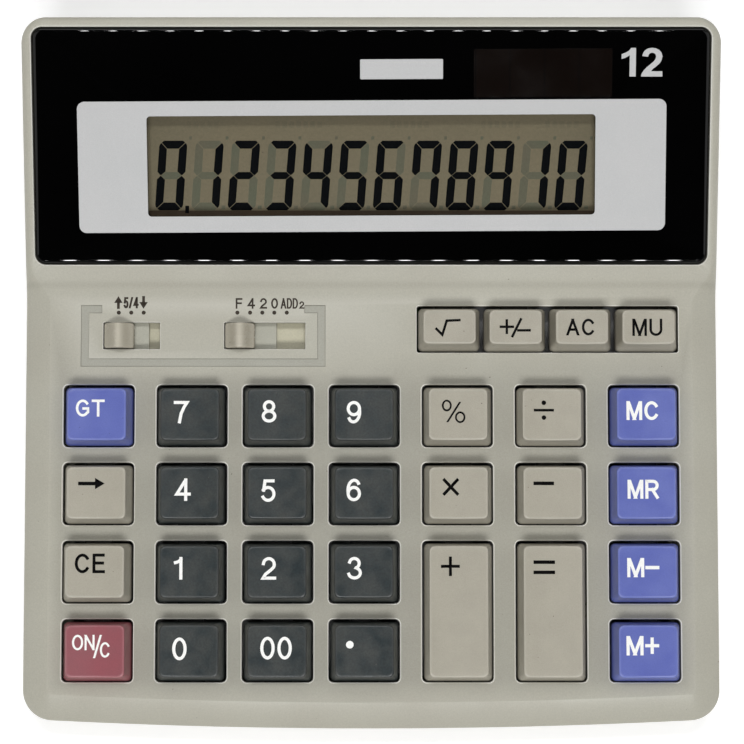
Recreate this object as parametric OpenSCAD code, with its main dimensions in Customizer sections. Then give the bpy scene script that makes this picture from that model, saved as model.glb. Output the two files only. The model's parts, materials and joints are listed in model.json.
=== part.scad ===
// Desktop calculator: two case halves, keys on a rubber keypad, a sloped display and two slide switches.
// Millimetres. The origin lies on the table under the middle of the case, +Y points to the rear and +Z up.

/* [Body] */
// Width of the case
body_w = 150; // [148:0.5:156]
// Length of the key panel along its slope, from the front edge to the crease below the display
key_run = 95.4; // [95:0.1:99]
// Length of the display panel along its slope, from the crease to the rear rim
display_run = 57.8; // [57.4:0.1:62]
// Height of the key panel above the table at the front edge
front_h = 13; // [12.8:0.1:15]
// Slope of the key panel in degrees
key_tilt = 5; // [4.5:0.1:6]
// Slope of the display panel in degrees
display_tilt = 17; // [16:0.1:19]
// Thickness of the case walls and of the key panel
wall = 2; // [1.8:0.05:2.2]
// Radius of the rear corners in plan
rear_corner_r = 5.4; // [4:0.1:7]
// Radius of the front corners in plan
front_corner_r = 6.5; // [6:0.1:8]
// How far the middle of the front edge bows outward
front_bow = 1.7; // [0.5:0.1:2.5]
// Width of the rolled edge round the key panel
roll_w = 5.5; // [4:0.1:5.8]
// Depth of the rolled edge round the key panel
roll_h = 4; // [3:0.1:4.2]
// Radius of the upper edge round the display
rim_r = 1.6; // [1:0.1:1.8]
// Height of the seam between the case halves above the table
seam_h = 7; // [6.6:0.1:7.2]
// Height of the underside above the table
foot_gap = 1; // [0.8:0.1:1.1]
// Chamfer along the lower edge of the case
base_chamfer = 1.5; // [0.8:0.1:1.8]

/* [Keys] */
// Distance of the outer columns' middles from the sides of the case
side_margin = 16.2; // [15.8:0.1:16.6]
// Width of the panel between the openings of two digit columns
key_web = 3.3; // [3:0.1:3.6]
// Extra distance between the columns outside the digits
wide_extra = 1.5; // [1.2:0.1:1.8]
// Distance between the rows
row_pitch = 16.8; // [16.4:0.1:16.9]
// Distance of the first row's middle from the front edge, along the slope
first_row = 16.5; // [16.2:0.1:17]
// Depth of the panel between the openings of two rows
row_web = 3.4; // [3.1:0.1:3.7]
// How far a key's left and right sides slope in
key_lean_w = 1; // [0.7:0.1:1.2]
// How far a key's front and rear slope in
key_lean_d = 0.8; // [0.6:0.1:1]
// Height of the keys above the panel
key_h = 5; // [4.4:0.1:5.4]
// Depth of the hollow in a key's top face
key_dish = 0.45; // [0.3:0.05:0.6]
// How far a key goes down
key_travel = 2; // [1.4:0.1:2.1]
// Distance between the four small keys
small_pitch = 14.2; // [14:0.1:14.3]
// Gap between two small keys
small_gap = 0.9; // [0.8:0.05:1.2]
// Depth of a small key at the panel
small_d = 9.4; // [9:0.1:9.6]
// Distance of the small keys from the fourth row, middle to middle
small_row_gap = 18.8; // [18.6:0.1:19.2]
// Gap round a key in its opening
key_gap = 0.35; // [0.25:0.05:0.4]

/* [Display] */
// Width of the case's rim beside the display panel
side_rim = 2.35; // [2.2:0.05:2.8]
// Width of the case's rim behind the display panel
rear_rim = 2.2; // [2:0.05:2.6]
// Distance of the display panel from the crease
lens_margin = 4.5; // [4.4:0.1:4.8]
// Thickness of the display panel
lens_t = 2.1; // [1.9:0.05:2.2]
// Width of the display panel beside the visible display
window_side = 24.45; // [24:0.05:26]
// Depth of the visible display along the slope
window_d = 21.5; // [20:0.1:22]
// Distance of the visible display's middle from the panel's front edge
window_place = 21.4; // [21.2:0.1:21.8]
// Width of the solar cell
solar_w = 33; // [30:0.5:38]
// Depth of the solar cell along the slope
solar_d = 11.6; // [10.6:0.1:11.8]
// Distance of the solar cell's middle from the display panel's right edge
solar_side = 35.85; // [34:0.05:38]
// Distance of the solar cell's middle from the panel's rear edge
solar_place = 10; // [9.6:0.1:10.2]

/* [Switches] */
// Width of a switch knob
knob_w = 6.35; // [6:0.05:6.8]
// Depth of a switch knob
knob_d = 5.4; // [5:0.1:5.8]
// Height of a switch knob above the panel
knob_h = 3; // [2.4:0.1:3.4]
// Travel of the rounding switch, over three positions
rounding_travel = 5.4; // [5:0.1:6]
// Travel of the decimal switch, over five positions
decimal_travel = 10.7; // [10:0.1:11]
// Distance of the rounding switch's slot from the case's left side
rounding_place = 17; // [16.6:0.1:17.4]
// Distance of the decimal switch's slot from the case's left side
decimal_place = 43.15; // [42.8:0.05:43.6]
// Distance of the switches from the fourth row, middle to middle
switch_row_gap = 17.4; // [17.2:0.1:17.8]

/* [Inside] */
// Thickness of the circuit boards
board_t = 1.2; // [1:0.1:1.3]
// Depth of the key board's upper face below the panel's surface
board_drop = 9; // [8.9:0.05:9.1]
// Diameter of the battery cell
cell_dia = 14.3; // [13.6:0.1:14.5]
// Length of the battery cell with its terminal
cell_len = 50.5; // [49:0.1:51]
// Diameter of the case screws' thread
case_screw_dia = 2.5; // [2.2:0.1:2.6]
// Diameter of the board screws' thread
board_screw_dia = 2; // [1.8:0.1:2.2]
// Diameter of the rubber feet
foot_dia = 10; // [8:0.5:11]

/* [Hidden] */
$fn = 48;

// Clearances that fits share
SLIDE_FIT = 0.2;
SEAT_FIT = 0.05;
CASE_FIT = 0.15;
THREAD_FIT = 0.02;
EDGE = 1;

// Name, column, row, finish and number of rows covered. Row 0 is the row of small keys.
KEYS = [
    ["key_sqrt", 0, 0, "beige", 1],
    ["key_sign", 1, 0, "beige", 1],
    ["key_ac", 2, 0, "beige", 1],
    ["key_mu", 3, 0, "beige", 1],
    ["key_gt", 0, 1, "blue", 1],
    ["key_7", 1, 1, "dark", 1],
    ["key_8", 2, 1, "dark", 1],
    ["key_9", 3, 1, "dark", 1],
    ["key_percent", 4, 1, "beige", 1],
    ["key_divide", 5, 1, "beige", 1],
    ["key_mc", 6, 1, "blue", 1],
    ["key_back", 0, 2, "beige", 1],
    ["key_4", 1, 2, "dark", 1],
    ["key_5", 2, 2, "dark", 1],
    ["key_6", 3, 2, "dark", 1],
    ["key_multiply", 4, 2, "beige", 1],
    ["key_minus", 5, 2, "beige", 1],
    ["key_mr", 6, 2, "blue", 1],
    ["key_ce", 0, 3, "beige", 1],
    ["key_1", 1, 3, "dark", 1],
    ["key_2", 2, 3, "dark", 1],
    ["key_3", 3, 3, "dark", 1],
    ["key_plus", 4, 3, "beige", 2],
    ["key_equals", 5, 3, "beige", 2],
    ["key_memory_minus", 6, 3, "blue", 1],
    ["key_on", 0, 4, "red", 1],
    ["key_0", 1, 4, "dark", 1],
    ["key_00", 2, 4, "dark", 1],
    ["key_point", 3, 4, "dark", 1],
    ["key_memory_plus", 6, 4, "blue", 1],
];

FIXED_NODES = [
    "upper_case", "lower_case", "display_lens", "lcd_front_glass", "lcd_rear_glass", "lcd_reflector",
    "lcd_holder", "contact_strip", "display_board", "solar_cell", "rubber_keypad", "key_board", "chip_cap",
    "switch_guide", "rounding_slider", "decimal_slider", "rounding_wiper", "decimal_wiper", "battery_cell",
    "positive_contact", "negative_contact", "battery_door", "battery_leads", "solar_leads", "display_ribbon",
    "case_screws", "board_screws", "rubber_feet",
];

FINISHES = [
    ["case", "#b5b2a4"], ["beige", "#b4ae9f"], ["blue", "#6674b0"], ["red", "#9d5c64"], ["dark", "#404347"],
    ["cream", "#c4c0a6"], ["glass", "#6a6352"], ["rubber", "#3a3a3a"], ["board", "#5d7a4e"],
    ["steel", "#b9bbbd"], ["black", "#0b0b0c"],
];

function finish(name) = [for (f = FINISHES) if (f[0] == name) f[1]][0];

// The two sloped planes, as height over the table against depth
half_w = body_w / 2;
body_d = key_run * cos(key_tilt) + display_run * cos(display_tilt);
front_y = -body_d / 2;
rear_y = body_d / 2;
crease_y = front_y + key_run * cos(key_tilt);
crease_z = front_h + key_run * sin(key_tilt);

function key_plane(y) = front_h + (y - front_y) * tan(key_tilt);
function display_plane(y) = crease_z + (y - crease_y) * tan(display_tilt);
function top_plane(y) = y <= crease_y ? key_plane(y) : display_plane(y);

// Depth and height of a point on each slope: distance up the slope, then distance out of the surface
function key_point(v, w) = [
    front_y + v * cos(key_tilt) - w * sin(key_tilt),
    front_h + v * sin(key_tilt) + w * cos(key_tilt),
];
function display_point(s, w) = [
    crease_y + s * cos(display_tilt) - w * sin(display_tilt),
    crease_z + s * sin(display_tilt) + w * cos(display_tilt),
];

module on_keys() {
    translate([0, front_y, front_h])
        rotate([key_tilt, 0, 0])
            children();
}

module on_display() {
    translate([0, crease_y, crease_z])
        rotate([display_tilt, 0, 0])
            children();
}

// Levels along the slopes' normals, measured from the outer surface
recess_depth = lens_t + 0.1;
recess_floor_t = 1.8;
display_ceiling = recess_depth + recess_floor_t;
glass_t = 1.1;
reflector_t = 0.2;
glass_top = -display_ceiling - SEAT_FIT;
rear_glass_top = glass_top - glass_t;
reflector_top = rear_glass_top - glass_t;
display_board_drop = 8.6;
display_board_under = display_board_drop + board_t;
board_under = board_drop + board_t;
keypad_t = 0.8;
dome_gap = 0.3;
plunger_end = -4;
dome_top = plunger_end - dome_gap;

// Outline of the case in plan: x, y and the outward normal, from the front's middle round the right side
front_half = half_w - front_corner_r;
bow_angle = atan(2 * front_bow / front_half);
front_join_x = front_half + front_corner_r * sin(bow_angle);
function front_edge(x) = front_y + front_bow * pow(x / front_half, 2);
front_corner_y = front_edge(front_join_x) + front_corner_r * cos(bow_angle);
FRONT_STEPS = 8;
CORNER_STEPS = 6;
ROLL_STEPS = 5;
// Length over which the rolled edge gives way to the display's sharper rim, and the ceiling's ramp there
blend_run = 9;
ramp_run = 3;

front_points = [
    for (i = [0:FRONT_STEPS])
        let (x = front_join_x * i / FRONT_STEPS, lean = atan(2 * front_bow * x / pow(front_half, 2)))
            [x, front_edge(x), sin(lean), -cos(lean)]
];
front_corner_points = [
    for (i = [1:CORNER_STEPS])
        let (a = -90 + bow_angle + (90 - bow_angle) * i / CORNER_STEPS)
            [front_half + front_corner_r * cos(a), front_corner_y + front_corner_r * sin(a), cos(a), sin(a)]
];
side_points = [
    for (step = [0, ramp_run, (ramp_run + blend_run) / 2, blend_run])
        [half_w, crease_y + step, 1, 0]
];
rear_corner_points = [
    for (i = [0:CORNER_STEPS])
        let (a = 90 * i / CORNER_STEPS)
            [
                half_w - rear_corner_r + rear_corner_r * cos(a),
                rear_y - rear_corner_r + rear_corner_r * sin(a),
                cos(a),
                sin(a),
            ]
];
right_points = concat(front_points, front_corner_points, side_points, rear_corner_points);
left_points = [
    for (i = [len(right_points) - 1:-1:1])
        let (p = right_points[i])
            [-p[0], p[1], -p[2], p[3]]
];
outline = concat(right_points, left_points);
outline_n = len(outline);
crease_i = len(front_points) + len(front_corner_points);
ramp_i = crease_i + 1;

// Share of the way from the key panel's rolled edge to the display's rim
function ease(t) = t * t * (3 - 2 * t);
function blend_at(y) = ease(max(0, min(1, (y - crease_y) / blend_run)));
function roll_w_at(y) = roll_w + (rim_r - roll_w) * blend_at(y);
function roll_h_at(y) = roll_h + (rim_r - roll_h) * blend_at(y);
function ceiling_at(y) =
    let (t = max(0, min(1, (y - crease_y) / ramp_run)))
        (1 - t) * wall / cos(key_tilt) + t * display_ceiling / cos(display_tilt);

function inset_point(p, inset) = [p[0] - p[2] * inset, p[1] - p[3] * inset];

// A level ring of the outline, and rings that follow the two slopes
function level_ring(inset, z) = [for (p = outline) concat(inset_point(p, inset), [z])];
function rolled_ring(angle) = [
    for (p = outline)
        let (q = inset_point(p, roll_w_at(p[1]) * (1 - cos(angle))))
            [q[0], q[1], top_plane(q[1]) - roll_h_at(p[1]) * (1 - sin(angle))]
];
function cavity_shoulder(inset) = [
    for (p = outline)
        let (q = inset_point(p, inset), drop = max(roll_h_at(p[1]) + 1.5, ceiling_at(p[1]) + 0.5))
            [q[0], q[1], top_plane(q[1]) - drop]
];
function cavity_ceiling(inset) = [
    for (p = outline)
        let (q = inset_point(p, inset + 0.75 * roll_w_at(p[1])))
            [q[0], q[1], top_plane(q[1]) - ceiling_at(q[1])]
];

function reverse(list) = [for (i = [len(list) - 1:-1:0]) list[i]];
function run(first, last) = [for (i = [first:last]) i % outline_n];

// A closed skin over stacked rings, lowest ring first. Caps are lists of ring indices for the flat tops.
module loft(rings, caps) {
    n = len(rings[0]);
    last = (len(rings) - 1) * n;
    sides = [
        for (r = [0:len(rings) - 2], i = [0:n - 1])
            let (a = r * n + i, b = r * n + (i + 1) % n)
                each [[a, a + n, b + n], [a, b + n, b]]
    ];
    polyhedron(
        [for (ring = rings) each ring],
        concat([run(0, n - 1)], sides, [for (cap = caps) reverse([for (i = cap) i + last])])
    );
}

KEY_CAP = run(outline_n - crease_i, outline_n + crease_i);
CREASE_CAP = run(crease_i, outline_n - crease_i);
RAMP_CAP = [crease_i, ramp_i, outline_n - ramp_i, outline_n - crease_i];
CEILING_CAP = run(ramp_i, outline_n - ramp_i);
LEVEL_CAP = run(0, outline_n - 1);

module case_skin() {
    rolled = [for (k = [0:ROLL_STEPS]) rolled_ring(90 * k / ROLL_STEPS)];
    loft(concat([level_ring(0, seam_h)], rolled), [KEY_CAP, CREASE_CAP]);
}

module case_cavity() {
    loft(
        [level_ring(wall, seam_h - EDGE), cavity_shoulder(wall), cavity_ceiling(wall)],
        [KEY_CAP, RAMP_CAP, CEILING_CAP]
    );
}

module base_skin() {
    loft(
        [level_ring(base_chamfer, foot_gap), level_ring(0, foot_gap + base_chamfer), level_ring(0, seam_h)],
        [LEVEL_CAP]
    );
}

// Upright block of the case's outline between two heights
module level_loft(inset, bottom, top) {
    loft([level_ring(inset, bottom), level_ring(inset, top)], [LEVEL_CAP]);
}

// Rectangle with round corners, centred
module rounded_rect(w, d, r) {
    square([w, d - 2 * r], center = true);
    square([w - 2 * r, d], center = true);
    for (x = [-1, 1], y = [-1, 1])
        translate([x * (w / 2 - r), y * (d / 2 - r)])
            circle(r);
}

// Plate with round corners between two heights
module plate(w, d, r, bottom, top) {
    translate([0, 0, bottom])
        linear_extrude(top - bottom)
            rounded_rect(w, d, r);
}

// Block given by its middle in plan and its lower and upper face
module block(w, d, bottom, top) {
    translate([-w / 2, -d / 2, bottom])
        cube([w, d, top - bottom]);
}

// Round bar between two heights
module bar(r, bottom, top) {
    translate([0, 0, bottom])
        cylinder(r = r, h = top - bottom);
}

// Places of the keys on the key panel
// Number of wide steps to the left of each column
WIDE_STEPS = [0, 1, 1, 1, 2, 3, 4];
LAST_COLUMN = len(WIDE_STEPS) - 1;
ROWS = 4;
SMALL_KEYS = 4;
keys_w = body_w - 2 * side_margin;
digit_pitch = (keys_w - WIDE_STEPS[LAST_COLUMN] * wide_extra) / LAST_COLUMN;
function column_x(c) = c * digit_pitch + WIDE_STEPS[c] * wide_extra - keys_w / 2;
function row_v(r) = first_row + (ROWS - r) * row_pitch;
opening_w = digit_pitch - key_web;
opening_d = row_pitch - row_web;
opening_r = 1;
key_w = opening_w - 2 * key_gap;
key_d = opening_d - 2 * key_gap;
small_w = small_pitch - small_gap;
small_slot_w = (SMALL_KEYS - 1) * small_pitch + small_w + 2 * key_gap;
small_slot_d = small_d + 2 * key_gap;
// The small keys' slot ends in line with the right column's openings
small_x = column_x(LAST_COLUMN) + opening_w / 2 - small_slot_w / 2;
top_row = row_v(1);
small_v = top_row + small_row_gap;
switch_v = top_row + switch_row_gap;
function small_key_x(c) = small_x + (c - (SMALL_KEYS - 1) / 2) * small_pitch;
function is_small(key) = key[2] == 0;
function key_x(key) = is_small(key) ? small_key_x(key[1]) : column_x(key[1]);
function key_v(key) = is_small(key) ? small_v : row_v(key[2]) - (key[4] - 1) * row_pitch / 2;
function key_span(key) = (key[4] - 1) * row_pitch;

small_lean = 1;

// Key caps: straight skirt in the opening, sloped sides, hollow top and a plunger over each rubber dome
skirt_end = -3.2;
taper_start = 0.5;
tab_gap = 0.3;
tab_reach = 0.9;
tab_w = 6;
cap_wall = 0.9;
roof_t = 1.35;
plunger_r = 2.2;

// Side of a key cap: a straight skirt that narrows towards the top
module cap_profile(base, top) {
    polygon([
        [-base / 2, skirt_end], [base / 2, skirt_end], [base / 2, taper_start],
        [top / 2, key_h], [-top / 2, key_h], [-base / 2, taper_start],
    ]);
}

module key_cap(w, d, lean_w, lean_d, span) {
    top_w = w - 2 * lean_w;
    top_d = d - 2 * lean_d;
    dish_r = (pow(top_w / 2, 2) + pow(key_dish, 2)) / (2 * key_dish);
    ceiling = key_h - key_dish - roof_t;
    long = d + span;
    difference() {
        intersection() {
            rotate([90, 0, 0])
                linear_extrude(long + EDGE, center = true)
                    cap_profile(w, top_w);
            rotate([90, 0, 90])
                linear_extrude(w + EDGE, center = true)
                    cap_profile(long, top_d + span);
            plate(w, long, opening_r, skirt_end, key_h);
        }
        translate([0, 0, key_h - key_dish + dish_r])
            rotate([90, 0, 0])
                cylinder(r = dish_r, h = long + EDGE, center = true, $fn = 180);
        block(top_w - 2 * cap_wall, top_d + span - 2 * cap_wall, skirt_end - EDGE, ceiling);
    }
    for (y = span > 0 ? [-span / 2, span / 2] : [0])
        translate([0, y, 0])
            bar(plunger_r, plunger_end, ceiling + roof_t / 2);
    for (side = [-1, 1])
        translate([0, side * (long / 2 + (key_gap + tab_reach - cap_wall) / 2), 0])
            block(tab_w, key_gap + tab_reach + cap_wall, skirt_end, -wall - tab_gap);
}

module key(key) {
    color(finish(key[3]))
        on_keys()
            translate([key_x(key), key_v(key), 0])
                if (is_small(key))
                    key_cap(small_w, small_d, small_lean, small_lean, 0);
                else
                    key_cap(key_w, key_d, key_lean_w, key_lean_d, key_span(key));
}

// Screw places: board screws stand between the keys, case screws stand along the sides
board_screw_r = board_screw_dia / 2;
board_boss_r = 2.1;
BOARD_SCREWS = [
    for (pair = [[0, 1], [3, 4], [5, 6]], r = [1, 3])
        [(column_x(pair[0]) + column_x(pair[1])) / 2, (row_v(r) + row_v(r + 1)) / 2]
];
case_screw_r = case_screw_dia / 2;
case_boss_r = 2.7;
base_boss_r = 3.6;
case_boss_inset = 5.5;
front_post = 13.2;
middle_post = 20;
rear_post = 11.2;
CASE_SCREWS = [
    for (x = [-1, 1], y = [front_y + front_post, crease_y - middle_post, rear_y - rear_post])
        [x * (half_w - case_boss_inset), y]
];
boss_joint_z = seam_h + 1;
head_seat_z = seam_h - 2;
case_thread = 3.6;
screw_hole_play = 0.25;
board_thread = 4.4;
board_hole_end = -board_drop + board_thread + 0.5;
case_hole_end = boss_joint_z + case_thread + 0.5;
display_hole_end = -display_board_drop + board_thread + 0.25;

// The display: places along its slope
lens_w = body_w - 2 * side_rim;
lens_d = display_run - lens_margin - rear_rim;
window_w = lens_w - 2 * window_side;
solar_x = lens_w / 2 - solar_side;
lens_s = lens_margin + lens_d / 2;
lens_r = 2.6;
recess_w = lens_w + 2 * CASE_FIT;
recess_d = lens_d + 2 * CASE_FIT;
lens_proud = 0.1;
lens_edge = 0.6;
// Inset and drop of the lens's rounded upper edge
LENS_STEPS = [for (a = [0:30:90]) lens_edge * [1 - cos(a), 1 - sin(a)]];
window_s = lens_margin + window_place;
window_margin = 0.6;
hole_w = window_w + 2 * window_margin;
hole_d = window_d + 2 * window_margin;
glass_w = window_w + 7.6;
glass_d = window_d + 4.5;
glass_ledge = 3.2;
holder_fit = 0.3;
holder_t = 2.4;
holder_w = glass_w + 2 * (holder_fit + holder_t);
holder_d = glass_d + 2 * (holder_fit + holder_t);
solar_s = display_run - rear_rim - solar_place;
solar_t = 1.1;
solar_top = lens_proud - lens_t - SEAT_FIT;
solar_fit = 0.3;
display_boss_x = holder_w / 2 + 3.2;
display_boss_s = 11.5;
display_board_w = 2 * (display_boss_x + 3.2);
display_board_d = holder_d + 2;
DISPLAY_SCREWS = [
    for (x = [-1, 1], s = [-1, 1])
        [x * display_boss_x, window_s + s * display_boss_s]
];

// The slide switches
knob_fit = 0.27;
rounding_x = rounding_place - half_w;
decimal_x = decimal_place - half_w;
slot_d = knob_d + 2 * SLIDE_FIT;
function slot_w(travel) = knob_w + travel + 2 * knob_fit;
function knob_x(slot_x) = slot_x + knob_fit + knob_w / 2;
apron_top = -wall - SLIDE_FIT;
apron_t = 1;
apron_d = 8.6;
rounding_apron = 3.1;
decimal_apron = 4.65;
guide_top = apron_top - apron_t - SLIDE_FIT;
guide_t = 1.2;
guide_under = guide_top - guide_t;
guide_wall = 1.2;
guide_d = 12.8;
stem_w = 4;
stem_d = 1;
// The stems stand at the aprons' front edge, so that the guide's slots hide under the panel
stem_v = switch_v - apron_d / 2 + stem_d / 2;
stem_end = -board_drop + 1.4;
guide_left = rounding_x - rounding_apron - EDGE - guide_wall;
guide_right = decimal_x + slot_w(decimal_travel) + decimal_apron + EDGE + guide_wall;

// The engraved bracket round the switches
groove_w = 1.5;
groove_depth = 0.3;
groove_side = 4.1;
groove_stub = 4.5;
groove_front = 6.6;
groove_rear = 6.5;

// The boards and the keypad on the key panel
dome_r = 5.2;
dome_neck_r = 3.2;
dome_shoulder = 0.7;
dome_wall = 0.8;
dome_roof = 1;
pill_r = 1.6;
// The pill under a dome's roof meets the board when the key is right down
pill_end = -board_drop + key_travel - dome_gap;
sheet_margin = 0.9;
sheet_w = keys_w + 2 * (dome_r + sheet_margin);
sheet_front = first_row - dome_r - sheet_margin;
sheet_rear = small_v + dome_r + sheet_margin;
sheet_step = top_row + dome_r + sheet_margin + 3;
pad_strip = 2.6;
board_rear = sheet_rear + pad_strip;
sheet_hole_r = board_boss_r + 0.4;
DOMES = [
    for (key = KEYS, i = [0:key[4] - 1])
        [key_x(key), key_v(key) + (i - (key[4] - 1) / 2) * row_pitch]
];

// The battery pocket, open below and closed by a sliding door
cell_r = cell_dia / 2;
cell_fit = 0.3;
contact_room = 3.35;
pocket_wall = 1.4;
tongue_t = 1;
base_wall = wall + CASE_FIT + tongue_t;
floor_z = foot_gap + 2;
tongue_z = seam_h + 0.9;
door_t = 1.6;
pocket_half = cell_len / 2 + contact_room;
cell_y = rear_y - base_wall - EDGE - pocket_wall - cell_fit - cell_r;
cell_z = foot_gap + door_t + cell_fit + cell_r;
pocket_d = cell_dia + 2 * cell_fit;
pocket_top = cell_z + cell_r + cell_fit;
pocket_roof = pocket_top + pocket_wall;
door_half = pocket_half - 1.6;
door_front = cell_y - pocket_d / 2;
rail_reach = 1.4;
rail_z = foot_gap + 0.5;
rail_t = 0.8;
rail_play = 0.1;
lip_t = 2;
lip_half = door_half + rail_reach + 0.2;
contact_t = 0.4;
contact_w = 7;
tail_reach = 1.8;
leg_x = pocket_half - SEAT_FIT - contact_t / 2;
tip_x = cell_len / 2 + 0.1 + contact_t / 2;
tail_top = pocket_roof + tail_reach;

foot_side = 17;
foot_front = 14;
foot_rear = 16;
FEET = [
    for (x = [-1, 1], y = [front_y + foot_front, rear_y - foot_rear])
        [x * (half_w - foot_side), y]
];
foot_r = foot_dia / 2;
foot_t = foot_gap + 0.8;

module key_openings() {
    for (key = KEYS)
        if (!is_small(key))
            translate([key_x(key), key_v(key), 0])
                plate(opening_w, opening_d + key_span(key), opening_r, -wall - EDGE, EDGE);
    translate([small_x, small_v, 0])
        plate(small_slot_w, small_slot_d, opening_r, -wall - EDGE, EDGE);
}

module switch_slot(slot_x, travel) {
    translate([slot_x + slot_w(travel) / 2, switch_v, 0])
        block(slot_w(travel), slot_d, -wall - EDGE, EDGE);
}

// Shallow bracket that runs round both switches and is open at the rear
module switch_groove() {
    left = rounding_x - groove_side - groove_w / 2;
    right = decimal_x + slot_w(decimal_travel) + groove_side + groove_w / 2;
    front = switch_v - groove_front;
    rear = switch_v + groove_rear;
    translate([(left + right) / 2, front + groove_w / 2, 0])
        block(right - left, groove_w, -groove_depth, EDGE);
    for (end = [[left, 1], [right, -1]]) {
        translate([end[0] + end[1] * groove_w / 2, (front + rear) / 2, 0])
            block(groove_w, rear - front, -groove_depth, EDGE);
        translate([end[0] + end[1] * groove_stub / 2, rear - groove_w / 2, 0])
            block(groove_stub, groove_w, -groove_depth, EDGE);
    }
}

module upper_case() {
    color(finish("case"))
        difference() {
            union() {
                difference() {
                    case_skin();
                    case_cavity();
                }
                on_keys()
                    for (p = BOARD_SCREWS)
                        translate(p)
                            bar(board_boss_r, -board_drop, -wall / 2);
                for (p = CASE_SCREWS)
                    translate(p)
                        bar(case_boss_r, boss_joint_z, top_plane(p[1]) - 0.8 * ceiling_at(p[1]));
                on_display()
                    for (p = DISPLAY_SCREWS)
                        translate(p)
                            bar(board_boss_r, -display_board_drop, -display_ceiling + recess_floor_t / 2);
            }
            on_keys() {
                key_openings();
                switch_slot(rounding_x, rounding_travel);
                switch_slot(decimal_x, decimal_travel);
                switch_groove();
                for (p = BOARD_SCREWS)
                    translate(p)
                        bar(board_screw_r + THREAD_FIT, -board_drop - EDGE, board_hole_end);
            }
            for (p = CASE_SCREWS)
                translate(p)
                    bar(case_screw_r + THREAD_FIT, boss_joint_z - EDGE, case_hole_end);
            on_display() {
                translate([0, lens_s, 0])
                    plate(recess_w, recess_d, lens_r + CASE_FIT, -recess_depth, 2 * EDGE);
                translate([0, window_s, 0])
                    block(hole_w, hole_d, -display_ceiling - EDGE, 0);
                translate([solar_x, solar_s, 0])
                    block(solar_w + 2 * solar_fit, solar_d + 2 * solar_fit, -display_ceiling - EDGE, 0);
                for (p = DISPLAY_SCREWS)
                    translate(p)
                        bar(board_screw_r + THREAD_FIT, -display_board_drop - EDGE, display_hole_end);
            }
        }
}

module battery_pocket() {
    translate([0, cell_y, 0])
        block(2 * (pocket_half + pocket_wall), pocket_d + 2 * pocket_wall, foot_gap, pocket_roof);
}

module battery_space() {
    translate([0, cell_y, 0])
        block(2 * pocket_half, pocket_d, floor_z, pocket_top);
    for (side = [-1, 1])
        translate([side * leg_x, cell_y, 0])
            block(contact_t + 2 * SLIDE_FIT, contact_w + 2 * SLIDE_FIT, floor_z, pocket_roof + EDGE);
}

// Way of the door through the floor and the rear wall, with a groove for its rails
module door_way() {
    door_length = rear_y + EDGE - door_front;
    translate([0, door_front + door_length / 2, 0]) {
        block(2 * door_half, door_length, foot_gap - EDGE, floor_z);
        block(2 * (door_half + rail_reach), door_length, rail_z, rail_z + rail_t);
    }
    translate([0, rear_y - base_wall / 2, 0])
        block(2 * lip_half, base_wall + 2 * EDGE - 0.2, foot_gap - EDGE, tongue_z + EDGE);
}

module lower_case() {
    color(finish("case"))
        difference() {
            union() {
                difference() {
                    union() {
                        base_skin();
                        level_loft(wall + CASE_FIT, seam_h - EDGE, tongue_z);
                    }
                    level_loft(base_wall, floor_z, tongue_z + EDGE);
                }
                for (p = CASE_SCREWS)
                    translate(p)
                        bar(base_boss_r, floor_z - EDGE, boss_joint_z - SEAT_FIT);
                battery_pocket();
            }
            for (p = CASE_SCREWS)
                translate(p) {
                    bar(case_screw_r + screw_hole_play, foot_gap, boss_joint_z + EDGE);
                    bar(2 * case_screw_r, foot_gap - EDGE, head_seat_z);
                }
            for (p = FEET)
                translate(p)
                    bar(foot_r + CASE_FIT, foot_gap - EDGE, foot_t + SEAT_FIT);
            battery_space();
            door_way();
        }
}

module battery_door() {
    plate_length = rear_y - door_front - SLIDE_FIT;
    rail_length = rear_y - lip_t - door_front - SLIDE_FIT;
    color(finish("case"))
        intersection() {
            base_skin();
            union() {
                translate([0, rear_y - plate_length / 2, 0])
                    block(2 * (door_half - SLIDE_FIT), plate_length, foot_gap, foot_gap + door_t);
                translate([0, door_front + SLIDE_FIT + rail_length / 2, 0])
                    block(
                        2 * (door_half + rail_reach - SLIDE_FIT),
                        rail_length,
                        rail_z + rail_play,
                        rail_z + rail_t - rail_play
                    );
                translate([0, rear_y - lip_t / 2, 0])
                    block(2 * (lip_half - SLIDE_FIT), lip_t, foot_gap, seam_h - SLIDE_FIT);
            }
        }
}

module lens_slice(inset, drop) {
    plate(lens_w - 2 * inset, lens_d - 2 * inset, lens_r, -lens_t, -drop, $fn = 32);
}

module display_lens() {
    color(finish("black"))
        on_display()
            translate([0, lens_s, lens_proud])
                hull() {
                    for (step = LENS_STEPS)
                        lens_slice(step[0], step[1]);
                }
}

module lcd_front_glass() {
    color(finish("glass"))
        on_display()
            translate([0, window_s, 0])
                block(glass_w, glass_d, rear_glass_top, glass_top);
}

module lcd_rear_glass() {
    color(finish("glass"))
        on_display()
            translate([0, window_s + glass_ledge / 2, 0])
                block(glass_w, glass_d - glass_ledge, reflector_top, rear_glass_top);
}

module lcd_reflector() {
    color(finish("steel"))
        on_display()
            translate([0, window_s + glass_ledge / 2, 0])
                block(glass_w - 2, glass_d - glass_ledge - 1, reflector_top - reflector_t, reflector_top);
}

module lcd_holder() {
    color(finish("black"))
        on_display()
            translate([0, window_s, 0])
                difference() {
                    block(holder_w, holder_d, -display_board_drop + SEAT_FIT, glass_top);
                    block(
                        glass_w + 2 * holder_fit,
                        glass_d + 2 * holder_fit,
                        -display_board_drop - EDGE,
                        glass_top + EDGE
                    );
                }
}

module contact_strip() {
    strip_t = 2.2;
    color(finish("rubber"))
        on_display()
            translate([0, window_s - glass_d / 2 + glass_ledge / 2, 0])
                block(glass_w - 4, strip_t, -display_board_drop, rear_glass_top);
}

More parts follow.
